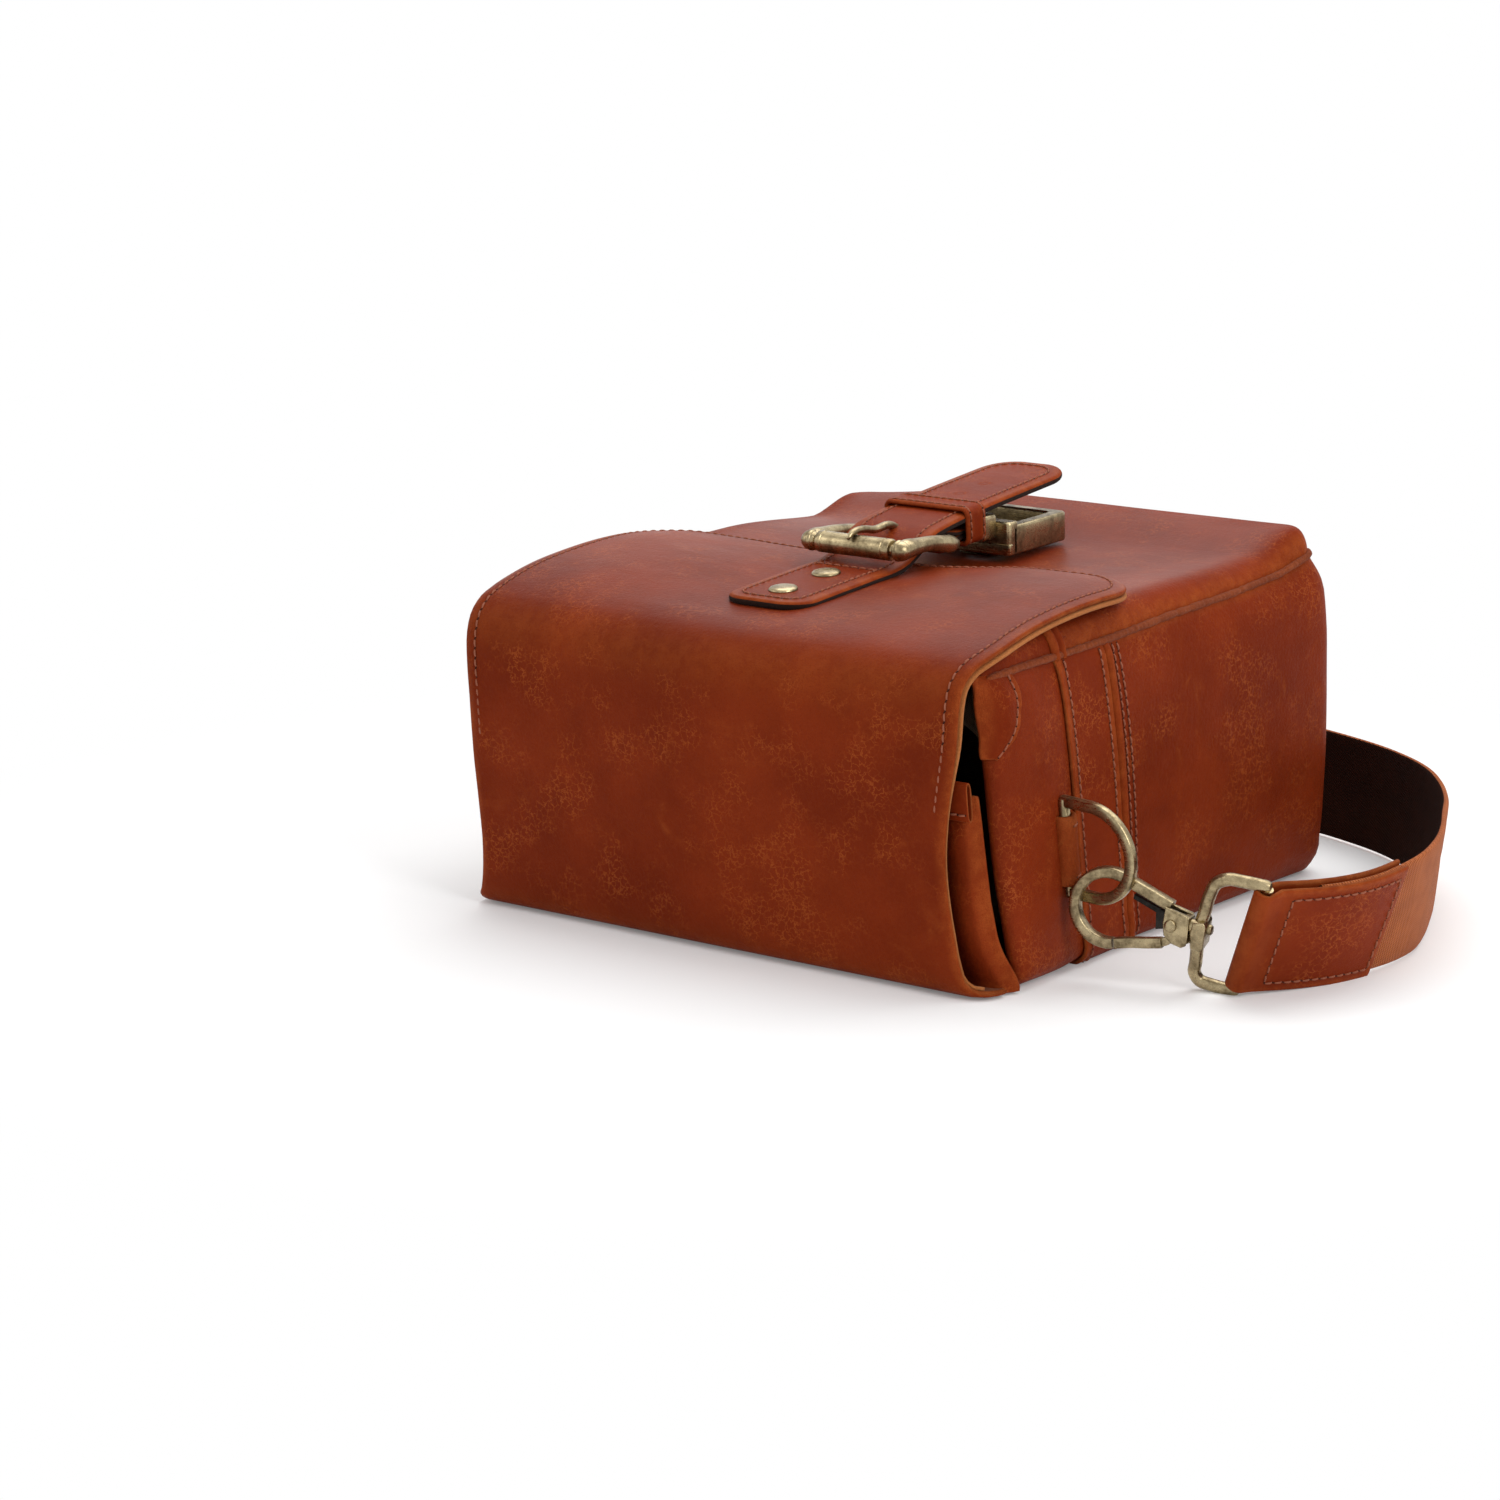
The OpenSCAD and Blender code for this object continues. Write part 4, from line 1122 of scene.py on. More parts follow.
def back_panel():
    end, corner = BASE_REACH - BACK_IN, BASE_ROUND - BACK_IN
    rows = panel_rows(-98.0, end, corner, 8.0)
    half = corner_half(rows, HALF_WIDTH - BACK_IN, end, corner)
    x = half[:, None] * PANEL_COLUMNS[None]
    y = np.broadcast_to(rows[:, None], x.shape)
    rim = seam_distance(x, y, HALF_WIDTH - BACK_IN, end, corner)
    z = 0.2 + 0.8 * np.exp(-np.maximum(rim, 0) / 4)
    grid = np.stack([x, y - z * lean_of(y), z], -1)
    piece = hide_sheet("back_hide", grid, HIDE, HIDE_FINISHES, rim=rim)
    return ride(piece, "bag", "leather", "back_panel")


SEAM_POINT = 9
TOP_OFFSETS = np.array([2.9, 3.8, 5.2, 7.4, 10.4, 14, 22, 36, 56, 78, 104])


def wrap_profile(c):
    """Half section of the collar at a reach c on the back panel, from the back edge to the middle."""
    edge = float(seam_height(c))
    puff = float(np.interp(c, [-94, -88, -78, -66, -54, -46, -20], [-2.6, 0.0, 1.8, 2.8, 1.8, 0.2, 0.0]))
    sag = float(np.interp(c, [-94, -84, -72, -56, -44, -20], [3.6, 5.4, 5.0, 2.6, 1.6, 0.2]))
    w = HALF_WIDTH
    points = [(w - 9.5, 0.6), (w - 4.0 + sag, 0.8), (w - 0.6 + sag, 3.4)]
    points += [(w + 0.2 + 0.3 * puff + 0.8 * sag, 14), (w + 0.6 + puff + 0.2 * sag, 40)]
    points += [(w + 0.8 + puff, 58), (w + 0.4 + puff, 74)]
    points += [(w - 0.4 + puff, 88), (w - 1.3 + puff * 0.7, 0.925 * edge), (w - SEAM_IN, edge)]
    x = w - TOP_OFFSETS
    points += list(zip(x, rolled_front(x, np.full(x.shape, float(c)))))
    return Curve(points)


def seam_share(c):
    """Share of such a half section at which the seam lies."""
    profile = wrap_profile(c)
    return profile.knots[SEAM_POINT] / profile.length


def side_surface(c, t, lift=0.0):
    """Right side of the collar: t runs from the back edge at 0 to the seam at 1."""
    c, t = np.broadcast_arrays(np.asarray(c, float), np.asarray(t, float))
    shares = {station: seam_share(station) for station in np.unique(c)}
    return wrap_surface(c, t * np.vectorize(shares.get)(c), lift)


def wrap_surface(c, a, lift=0.0):
    """a runs from the right back edge at 0, over the front at 1, to the left back edge at 2."""
    c, a, lift = np.broadcast_arrays(np.asarray(c, float), np.asarray(a, float), np.asarray(lift, float))
    out = np.zeros(c.shape + (3,))
    for station in np.unique(c):
        here = c == station
        profile = wrap_profile(station)
        share = np.where(a[here] <= 1, a[here], 2 - a[here])
        s = share * profile.length
        p = profile(s)
        t = unit(profile(s + 0.2) - profile(s - 0.2))
        x, z = p[:, 0] + lift[here] * t[:, 1], p[:, 1] - lift[here] * t[:, 0]
        x = np.where(a[here] <= 1, x, -x)
        out[here] = np.stack([x, station - z * math.tan(math.radians(MOUTH_SLANT)), z], -1)
    return out


WRAP_STEPS = np.concatenate(
    [np.linspace(0, 0.1, 8), np.linspace(0.1, 0.62, 56)[1:], np.linspace(0.62, 1, 10)[1:]]
)
WRAP_STEPS = np.concatenate([WRAP_STEPS, 2 - WRAP_STEPS[-2::-1]])


def side_strips(name, stations, lift, thick, finishes, node_name, crown=0.0, ends=(0.0, 1.0)):
    """A band up each side, tucked in at the seam of the front and at the back edge."""
    stations = np.asarray(stations, float)
    middle, half = stations.mean(), np.ptp(stations) / 2
    c, t = np.meshgrid(stations, np.linspace(*ends, 48), indexing="ij")
    lifts = lift + crown * np.sqrt(np.maximum(1 - ((c - middle) / half) ** 2, 0))
    lifts = lifts * (1 - 0.75 * smooth(0.965, 1.0, t))
    grid = side_surface(c, t, lifts)
    rim = np.minimum(c - stations[0], stations[-1] - c)
    for side, word in ((1, "right"), (-1, "left")):
        piece = hide_sheet(name + "_" + word, grid * np.array([side, 1, 1]), thick, finishes, rim=rim)
        ride(piece, "bag", "leather", *([node_name] if side > 0 else []))


MOUTH_EDGE = 86.5


def collar():
    """Padded collar, its hide is turned round the edge of the mouth to the inside."""
    outside = [(c, 0.0) for c in np.linspace(-40, -MOUTH_EDGE + 2, 18)]
    turns = np.radians(np.linspace(0, 180, 9))
    rolled = [(-MOUTH_EDGE - 3.2 * math.sin(a), -3.2 + 3.2 * math.cos(a)) for a in turns]
    inside = [(c, -6.4) for c in (-83, -80, -75, -70)]
    stations, lifts = np.array(outside + rolled + inside).T
    c, a = np.meshgrid(stations, WRAP_STEPS, indexing="ij")
    creases = 0.5 * ripple(np.stack([c, 90 * a, 0 * c], -1), 16, 4.4)
    creases = creases * smooth(-92, -80, c) * (1 - smooth(-56, -48, c))
    grid = wrap_surface(c, a, lifts[:, None] + creases)
    rim = np.broadcast_to(np.abs(np.arange(len(stations)) - 22.0)[:, None] * 1.5 + 3.5, c.shape)
    n = normals_of(grid)
    side = np.sign(np.sum(n[:12] * (grid[:12] - np.array(BAG_MIDDLE))))
    middle = BAG_MIDDLE if side > 0 else (0, 0, 57)
    piece = hide_sheet("collar_hide", grid, 1.6, HIDE_FINISHES, rim=rim, polish=0 * rim + 0.12, middle=middle)
    return ride(piece, "bag", "leather", "collar")


def waist_band():
    stations = BAND_FROM + spread(RIM_FROM - BAND_FROM, 3.0)
    side_strips("waist_band_hide", stations, 1.7, 1.6, BELT_FINISHES, "waist_band")


def rim_roll():
    stations = RIM_FROM + 0.7 + 1.7 * (1 - np.cos(np.linspace(0, math.pi, 12)))
    side_strips("rim_roll_hide", stations, 0.5, 1.0, BELT_FINISHES, "rim_roll", crown=2.2)


def roll_binding():
    """Narrow turned strip round the front roll, where the collar meets the front panel."""
    stations = -50.6 + np.linspace(0, 7.6, 17)
    ridges = 0.6 + 1.5 * np.abs(np.sin(np.linspace(0, 2 * math.pi, 17)))
    start, end = seam_share(-47) - 0.004, seam_share(-47) + 0.13
    c, a = np.meshgrid(stations, np.linspace(start, end, 20), indexing="ij")
    grid = wrap_surface(c, a, ridges[:, None] + 0 * a)
    rim = np.minimum(c - stations[0], stations[-1] - c)
    for side, word in ((1, "right"), (-1, "left")):
        own = grid * np.array([side, 1, 1])
        piece = hide_sheet("roll_binding_" + word, own, 1.2, BELT_FINISHES, rim=rim)
        ride(piece, "bag", "leather")


def seam_line(side, start, end, count):
    """Line of the seam between the front and one side, from the mouth to the base."""
    y = np.linspace(start, end, count)
    x = corner_half(y, FRONT_HALF, FRONT_END, FRONT_CORNER) + 0.5
    z = seam_height(y)
    return np.stack([side * x, y - z * lean_of(y), z], -1)


def front_welt(side, name, node_name):
    """Narrow turned welt, sewn into the seam, its raw edge slightly uneven."""
    line = seam_line(side, -88, FRONT_END - 1, 420)
    sizes = 1 + 0.22 * ripple(line, 1.6, 5.0) + 0.14 * ripple(line, 6, 2.0)
    sizes[:6] *= np.linspace(0.3, 1, 6)
    verts, faces = swept(line, round_section(1.25, 10), side=(0, 0, 1), sizes=sizes)
    return ride(make(name, verts, faces, [finish["fuzz"]]), "bag", "leather", node_name)


def lining():
    """Cloth pocket inside, open at the mouth and closed at its far end."""
    loops, steps = [], 72
    ring = np.linspace(0, 2 * math.pi, steps, endpoint=False)

    def section(c, inset):
        top = float(front_height(0, c - 12)) - 0.8 - inset
        half = HALF_WIDTH - 1.0 - inset
        power = 0.42
        x = half * np.sign(np.cos(ring)) * np.abs(np.cos(ring)) ** power
        z = (top + inset) / 2 + (top - inset) / 2 * np.sign(np.sin(ring)) * np.abs(np.sin(ring)) ** power
        dip = (1 - (x / half) ** 2) * 1.5
        z = np.where(np.sin(ring) < 0, z + 0 * dip, z - dip)
        return np.stack([x, c - z * lean_of(c), z], -1)

    for c in np.linspace(-78, 92, 18):
        loops.append(section(c, WALLS))
    for k, inset in [(97, 9.5), (100.5, 14), (102.2, 22), (102.8, 34), (103, 50)]:
        loops.append(section(k, inset))
    grid = np.array(loops)
    rows = len(loops)
    faces = [tuple(reversed(f)) for f in grid_faces(rows, steps, wrap=True)]
    faces.append(tuple((rows - 1) * steps + k for k in range(steps)))
    run = np.cumsum(np.linalg.norm(np.diff(grid[:, 0], axis=0, prepend=grid[:1, 0]), axis=1))
    around = np.cumsum(np.linalg.norm(np.diff(grid[8], axis=0, prepend=grid[8][:1]), axis=1))
    cloth = np.stack(np.broadcast_arrays(run[:, None], around[None], 0 * around[None]), -1).reshape(-1, 3)
    piece = make("lining_pocket", grid, faces, [finish["lining"]], weave=cloth)
    ride(piece, "bag", "lining", "lining", "back_foam", "front_foam", "gusset_foam")


front_panel()
gusset()
back_panel()
collar()
waist_band()
rim_roll()
roll_binding()
front_welt(-1, "front_welt_left_hide", "front_welt_left")
front_welt(1, "front_welt_right_hide", "front_welt_right")
lining()


def body_stitches():
    rows = []
    t = np.linspace(0.03, 0.985, 160)
    lines = []
    for c in (BAND_FROM + 3.0, RIM_FROM - 3.0):
        p = side_surface(np.full(t.shape, c), t, 1.75)
        lines.append((p, unit(side_surface(np.full(t.shape, c), t, 2.75) - p)))
    for past_rim in (5.6, 8.4):
        p, n = on_surface(gusset_surface, np.full(t.shape, past_rim + 2), t * SIDE.length)
        lines.append((p + 0.1 * n, n))
    for side in (1, -1):
        mirror = np.array([side, 1, 1])
        rows += [stitch_row(p * mirror, n * mirror, pitch=3.2) for p, n in lines]
    return ride(sew("body_stitches", rows), "bag", "leather")


body_stitches()


# Flap: one hide over the mouth and the front, with a suede layer under it

FLAP_MIDDLE = Curve([
    (-98, 0.2), (-105, 0.3), (-109.2, 1.4), (-111.8, 4.6), (-113.2, 11), (-114.6, 21), (-116.6, 38),
    (-118.4, 57), (-119.8, 73.5), (-120.4, 86), (-120.2, 96), (-118.4, 103.4), (-113.6, 108.6), (-106, 111.4),
    (-94, 113.0), (-83, 113.9), (-66.8, 114.9), (-44.9, 116.7), (-22.5, 118.2), (-8, 119.0),
])
FLAP_EDGE = Curve(
    [
        (-98, 0.2, 108.5), (-105, 0.3, 107.6), (-109, 1.4, 105.8), (-111.2, 4.6, 103.4), (-112.4, 11, 101.6),
        (-113.4, 21, 100.6), (-115.4, 38, 100.6), (-117, 57, 101.8), (-118.2, 73.5, 103.4),
        (-118.4, 86, 104.6), (-117.8, 97.5, 105), (-115.3, 104.5, 105), (-110.5, 109.2, 105),
        (-104, 112.1, 105), (-93.6, 115.2, 105),
        (-83, 117.6, 105), (-66.8, 120, 105), (-44.9, 121.7, 105), (-22.5, 121.4, 105), (-8, 120.2, 105),
    ],
    knots=FLAP_MIDDLE.knots,
)
FLAP_END = FLAP_MIDDLE.length
FLAP_FOLD = FLAP_MIDDLE.knots[11]
FLAP_SPLIT = 55.0
VALLEY = 42.0


def flap_half(s):
    """Half width of the flap, drawn in below the fold and rounded at its front corners."""
    half = FLAP_EDGE(s)[..., 2]
    past = np.clip(s - (FLAP_END - FLAP_ROUND), 0, FLAP_ROUND)
    return half - FLAP_ROUND + np.sqrt(np.maximum(FLAP_ROUND**2 - past**2, 0))


def flap_surface(x, s):
    """Outer face of the flap: its sides arch up on both sides of the closing strap."""
    x, s = np.broadcast_arrays(np.asarray(x, float), np.asarray(s, float))
    arch = (1 - np.exp(-((x / VALLEY) ** 2))) / (1 - math.exp(-((FLAP_HALF / VALLEY) ** 2)))
    y_z = FLAP_MIDDLE(s)[..., :2] * (1 - arch[..., None]) + FLAP_EDGE(s)[..., :2] * arch[..., None]
    y, z = y_z[..., 0], y_z[..., 1]
    front = smooth(FLAP_FOLD + 20, FLAP_END, s)
    z = z + front * (2.4 * smooth(20, 62, x) - 1.2 * smooth(86, 105, np.abs(x)))
    near = smooth(12, 40, s) * (1 - smooth(FLAP_FOLD - 30, FLAP_FOLD, s))
    skew = -2.4 * smooth(0, 14, s) * (1 - smooth(FLAP_FOLD - 55, FLAP_FOLD - 18, s))
    lower = smooth(20, 60, s) * (1 - smooth(FLAP_FOLD - 4, FLAP_FOLD + 26, s))
    skew = skew - 3.4 * np.clip(x / 105, 0, 1) ** 2 * lower
    y = y - near * 0.8 * ripple(np.stack([x, s, 0 * x], -1), 46, 1.3)
    top = smooth(FLAP_FOLD + 6, FLAP_FOLD + 30, s)
    z = z + top * 0.6 * ripple(np.stack([x, s, 0 * x], -1), 40, 9.4) * smooth(14, 34, np.abs(x))
    return np.stack([x + skew, y, z], -1)


def flap_rim(x, s):
    """Distance to the edge of the flap."""
    half = FLAP_EDGE(s)[..., 2]
    qx = np.abs(x) - (half - FLAP_ROUND)
    qs = s - (FLAP_END - FLAP_ROUND)
    outside = np.hypot(np.maximum(qx, 0), np.maximum(qs, 0))
    return FLAP_ROUND - outside - np.minimum(np.maximum(qx, qs), 0)


FLAP_COLUMNS = spread(2 * FLAP_HALF, 4.0) / FLAP_HALF - 1
HINGE_TURN = ((0, -0.1045, 0.001), (0, -0.112, 0.028))
FOLD_TURN = ((0, -0.1195, 0.086), (0, -0.098, 0.1105))


def flap_rows(start, end, step):
    rows = np.linspace(start, end, int((end - start) / step))
    if end < FLAP_END:
        return rows
    straight = FLAP_END - FLAP_ROUND
    turns = np.sin(np.radians(np.linspace(0, 90, 16))) * 0.992
    return np.concatenate([rows[rows < straight - 1], straight + FLAP_ROUND * turns])


def flap_layer(name, start, end, inset, drop, thick, finishes, node_names, slot, bodies, bend):
    """One layer of a half of the flap, baked in place at rest; it is not attached to a body and does not bend.
    """
    s = flap_rows(start, end, 3.0)
    half = flap_half(s) - inset + (1.2 * smooth(FLAP_FOLD - 45, FLAP_FOLD - 12, s) if slot == "suede" else 0)
    x = half[:, None] * FLAP_COLUMNS[None]
    at_s = np.broadcast_to(s[:, None], x.shape)
    grid = flap_surface(x, at_s)
    rim = flap_rim(x, at_s)
    n = -normals_of(grid)
    groove = 0.30 * np.exp(-(((rim - 5) / 0.9) ** 2)) * smooth(FLAP_FOLD - 28, FLAP_FOLD - 18, at_s)
    edge_roll = 0.7 * np.exp(-((rim / 2.2) ** 2))
    grid = grid - n * (drop + groove + edge_roll)[..., None]
    pull = 0.3 * np.exp(-(((at_s - FLAP_FOLD + 2) / 9) ** 2)) + 0.3 * np.exp(-(((at_s - 10) / 7) ** 2))
    next_half = "first_row" if end == FLAP_END else "last_row"
    polish = 0.52 * smooth(FLAP_FOLD - 6, FLAP_FOLD + 24, at_s)
    piece = hide_sheet(name, grid, thick, finishes, rim=rim, pull=pull, polish=polish, open_side=next_half)
    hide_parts(*node_names)
    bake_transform(piece)
    return piece


TOP_BEND = (("bag", "flap_top"), HINGE_TURN)
FRONT_BEND = (("flap_top", "flap_front"), FOLD_TURN)
TOP_HIDE, FRONT_HIDE = ["flap_hinge", "flap_top_leather"], ["flap_front_leather", "flap_bend"]
back = ("flap_back_hide", 0, FLAP_SPLIT, 1.0, 0, HIDE)
front = ("flap_hide", FLAP_SPLIT, FLAP_END, 1.0, 0, HIDE)
flap_layer(*back, HIDE_FINISHES, TOP_HIDE, "leather", *TOP_BEND)
flap_layer(*front, HIDE_FINISHES, FRONT_HIDE, "leather", *FRONT_BEND)
SUEDE_FINISHES = [finish["suede"]] * 3
back = ("flap_back_suede", 8, FLAP_SPLIT, 1.5, HIDE + 0.05, SUEDE)
front = ("flap_suede", FLAP_SPLIT, FLAP_END, 1.5, HIDE + 0.05, SUEDE)
flap_layer(*back, SUEDE_FINISHES, ["flap_top_suede"], "suede", *TOP_BEND)
flap_layer(*front, SUEDE_FINISHES, ["flap_front_suede"], "suede", *FRONT_BEND)


def flap_stitches():
    """Stitch row 5 mm inside the edge, from a little below the fold right round the front."""
    inset = 5.0
    first = FLAP_FOLD - 42
    straight = FLAP_END - FLAP_ROUND
    s_side = np.linspace(first, straight, 120)
    corner = np.radians(np.linspace(0, 90, 30))
    r = FLAP_ROUND - inset
    half = FLAP_HALF - FLAP_ROUND
    s = np.concatenate([s_side, straight + r * np.sin(corner)])
    x = np.concatenate([FLAP_EDGE(s_side)[..., 2] - inset, half + r * np.cos(corner)])
    across = np.linspace(half, -half, 120)[1:-1]
    x = np.concatenate([x, across, -x[::-1]])
    s = np.concatenate([s, np.full(across.shape, FLAP_END - inset), s[::-1]])
    p, n = on_surface(flap_surface, x, s)
    rows = [stitch_row(p - 0.25 * n, n, pitch=3.4)]
    thread = sew("flap_stitches", rows)
    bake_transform(thread)


flap_stitches()


# Ears beside the mouth and facings at its front corners

MOUTH_TAN = math.tan(math.radians(MOUTH_SLANT))


def ear(side, name, node_name):
    """Folded end of the gusset: a leaf that stands before the mouth, hemmed at its top."""
    tall = 64.0
    heights = spread(tall, 2.4)
    across = np.concatenate([np.linspace(0, 0.8, 10), np.linspace(0.8, 1, 9)[1:]])
    h, a = np.meshgrid(heights, across, indexing="ij")
    outer = np.interp(h, [0, 4, 10, 18, 30, 50, 72], [109.0, 108.0, 105.8, 103.8, 102.2, 101.2, 100.6])
    wide = np.interp(h, [0, 30, 50, 72], [24, 22, 20, 18])
    x = outer - wide * (1 - a)
    belly = 2.2 * np.sin(np.pi * np.clip((a - 0.35) / 0.65, 0, 1)) * (1 - smooth(50, 70, h))
    turned_in = 3.2 * smooth(0.86, 1.0, a) * (1 - 0.5 * smooth(50, 72, h))
    spread_out = 3.5 * (1 - smooth(0, 16, h)) * a
    z = 1.4 + h
    y = -MOUTH_REACH - 6.0 - belly + turned_in + spread_out - z * MOUTH_TAN
    grid = np.stack([side * x, y, z], -1)
    rim = np.minimum(np.minimum(h, tall - h), 20 * np.minimum(a, 1 - a))
    piece = hide_sheet(name, grid, HIDE, HIDE_FINISHES, rim=rim)
    ride(piece, "bag", "leather", node_name)
    low, high = 58.5, 72.0
    turn_of_hem = np.radians(np.linspace(-90, 270, 25))
    hem_section = np.stack([1.5 * np.cos(turn_of_hem), (high - low) / 2 * np.sign(np.sin(turn_of_hem))
                            * np.abs(np.sin(turn_of_hem)) ** 0.4], -1)
    hem = []
    for x_at in np.linspace(84, 101.4, 9):
        z_at = (low + high) / 2 + hem_section[:, 1]
        y_at = -MOUTH_REACH - 8.4 - z_at * MOUTH_TAN + hem_section[:, 0]
        hem.append(np.stack([0 * z_at + side * x_at, y_at, z_at], -1))
    hem = np.array(hem)
    hem_piece = hide_sheet(name + "_hem", hem, 0.7, BELT_FINISHES, middle=tuple(hem.mean((0, 1))))
    ride(hem_piece, "bag", "leather")
    x_at = np.linspace(85, 101, 20)
    z_at = low + 2.6
    row = np.stack([side * x_at, 0 * x_at - MOUTH_REACH - 9.95 - z_at * MOUTH_TAN, 0 * x_at + z_at], -1)
    up = np.broadcast_to(np.array([0.0, -1.0, 0.0]), row.shape)
    thread = sew(name + "_stitches", [stitch_row(row, up, pitch=3.0)])
    ride(thread, "bag", "leather")


def wrap_at(c, z):
    """Share of the collar's half section at which it reaches a height, for one reach c."""
    profile = wrap_profile(c)
    s = np.linspace(0, profile.length * 0.62, 300)
    heights = np.maximum.accumulate(profile(s)[:, 1])
    return np.interp(z, heights, s) / profile.length


def corner_facing(side, name, node_name):
    """Soft facing over the front corner of the mouth, sewn to the collar along a curve."""
    heights = np.linspace(78.5, 104.5, 20)
    across = np.linspace(0, 1, 14)
    marks = [78.5, 80, 83, 88, 94, 100, 104.5]
    reach = np.interp(heights, marks, [-88.6, -86.0, -82.4, -78, -75.2, -74.6, -75])
    lumps = 1.6
    grid = np.zeros((20, 14, 3))
    for i, (z, right) in enumerate(zip(heights, reach)):
        for j, t in enumerate(across):
            c = -90.0 + (right + 90.0) * t
            swell = 1.7 + 2.4 * math.sin(math.pi * min(t * 1.15, 1.0)) * math.sin(math.pi * i / 19.0) ** 0.5
            swell += lumps * noise.noise(Vector((c / 7, z / 8, 2.5)))
            a = float(wrap_at(c, z))
            grid[i, j] = wrap_surface(np.array([c]), np.array([a]), swell)[0]
            grid[i, j, 1] -= 2.6 * (1 - t) ** 3
            grid[i, j, 0] -= 3.0 * (1 - t) ** 3
    grid[..., 0] *= side
    rim = 16 * np.minimum(across, 1 - across)[None] + 0 * heights[:, None]
    piece = hide_sheet(name, grid, 1.6, HIDE_FINISHES, rim=rim, middle=(0, -40, 60))
    ride(piece, "bag", "leather", node_name)
    edge = grid[:, -3]
    up = unit(grid[:, -3] - np.array([0, -60, 70]))
    thread = sew(name + "_stitches", [stitch_row(edge + 0.15 * up, up, pitch=3.0)])
    ride(thread, "bag", "leather")


for side, word in ((-1, "left"), (1, "right")):
    ear(side, f"ear_{word}_hide", f"ear_{word}")
    corner_facing(side, f"corner_{word}_hide", f"corner_{word}")


# Closing strap, in the frame of the flap's front half

BILLET_START, BILLET_END = 33.0, 197.0
BILLET = Curve([
    (33, 1.6), (54, 1.6), (76, 1.6), (88, 1.7), (94, 2.6), (100, 5), (106, 7.9), (111, 9.6),
    (117, 10.4), (124, 11), (142, 12.2), (165, 12.9), (183, 13.3), (197, 13.6),
])


def billet_surface(x, y):
    """Upper face of the closing strap at a distance y from the fold."""
    s = np.interp(y, BILLET.points[:, 0], BILLET.knots)
    p = BILLET(s)
    t = unit(BILLET(s + 0.3) - BILLET(s - 0.3))
    lift = BILLET_THICK / 2 - 0.5 * np.clip(np.abs(x) / BILLET_HALF, 0, 1) ** 6
    return np.stack([x + 0 * y, p[..., 0] - t[..., 1] * lift, p[..., 1] + t[..., 0] * lift], -1)


def belt_half(y, start, end, start_round, end_round):
    """Half width of a strap with rounded ends."""
    before = np.clip(start + start_round - y, 0, start_round)
    after = np.clip(y - (end - end_round), 0, end_round)
    first = np.sqrt(np.maximum(start_round**2 - before**2, 0)) - start_round
    second = np.sqrt(np.maximum(end_round**2 - after**2, 0)) - end_round
    return BILLET_HALF + first + second


def belt_rows(start, end, start_round, end_round, step):
    turns = np.sin(np.radians(np.linspace(0, 90, 10)))
    head = start + start_round * (1 - turns[::-1] * 0.985)
    tail = end - end_round * (1 - turns * 0.985)
    return np.concatenate([head, np.arange(head[-1] + step, tail[0], step), tail])


def billet():
    rows = belt_rows(BILLET_START, BILLET_END, 9.0, 13.0, 2.5)
    half = belt_half(rows, BILLET_START, BILLET_END, 9.0, 13.0)
    columns = spread(2.0, 0.12, fine=(0, 0.03, 0.07, 0.13, 0.19, 0.25, 0.32)) - 1
    x = half[:, None] * columns[None]
    y = np.broadcast_to(rows[:, None], x.shape)
    rim = np.minimum(half[:, None] - np.abs(x), np.minimum(y - BILLET_START, BILLET_END - y))
    grid = moved(fold_frame, billet_surface(x, y))
    piece = hide_sheet("billet_hide", grid, BILLET_THICK, BELT_FINISHES, rim=rim, polish=0 * rim + 0.32)
    holes = []
    for y_hole in (150, 165):
        p, n = on_surface(billet_surface, np.array([0.0]), np.array([float(y_hole)]))
        bore = turned([(-5, 2.0), (5, 2.0)], 20)
        tilt = Vector((1, 0, 0)).rotation_difference(Vector(n[0])).to_matrix().to_4x4()
        spin = Matrix.Translation(p[0]) @ tilt
        holes.append(at(fold_frame @ spin, bore))
    punch(piece, holes)
    return ride(piece, "flap_front", "leather", "billet_strap")


def strap_line(inset, start, end, start_round, end_round):
    """Closed line inside the edge of the closing strap."""
    arc = np.radians(np.linspace(0, 90, 14))
    w = BILLET_HALF - inset
    r0, r1 = start_round - inset, end_round - inset
    lower = np.stack([w - r0 + r0 * np.sin(arc), start + start_round - r0 * np.cos(arc)], 1)
    upper = np.stack([w - r1 + r1 * np.cos(arc), end - end_round + r1 * np.sin(arc)], 1)
    straight = [[[w, y]] for y in np.arange(start + start_round + 2, end - end_round, 3)]
    half = np.concatenate([[[0, lower[0, 1]]], lower, *straight, upper, [[0, upper[-1, 1]]]])
    return np.concatenate([half, half[::-1] * [-1, 1]])


def billet_stitches():
    rows = []
    line = strap_line(3.4, BILLET_START, BILLET_END, 9.0, 13.0)
    p, n = on_surface(billet_surface, line[:, 0], line[:, 1])
    rows.append((p, n))
    for y in (81.0,):
        x = np.linspace(-BILLET_HALF + 3.4, BILLET_HALF - 3.4, 20)
        rows.append(on_surface(billet_surface, x, np.full(x.shape, y)))
    m = np.array(fold_frame)[:3, :3]
    made = [stitch_row(moved(fold_frame, p), n @ m.T, pitch=3.3) for p, n in rows]
    return ride(sew("billet_stitches", made), "flap_front", "leather")


def rivets():
    profile = [(-0.6, 0.4), (-0.6, 4.7), (0.0, 5.0), (0.55, 4.95)]
    profile += [(0.95, 4.5), (1.2, 3.6), (1.34, 2.2), (1.38, 0.4)]
    parts = []
    for y in (46, 70):
        spin = fold_frame @ place(0, y, 3.1) @ turn("Y", -90)
        parts.append(at(spin, turned(profile)))
    verts, faces = joined(parts)
    piece = make("strap_rivet_heads", verts, faces, [finish["brass"]], sharp=50)
    return ride(piece, "flap_front", "brass", "strap_rivets")


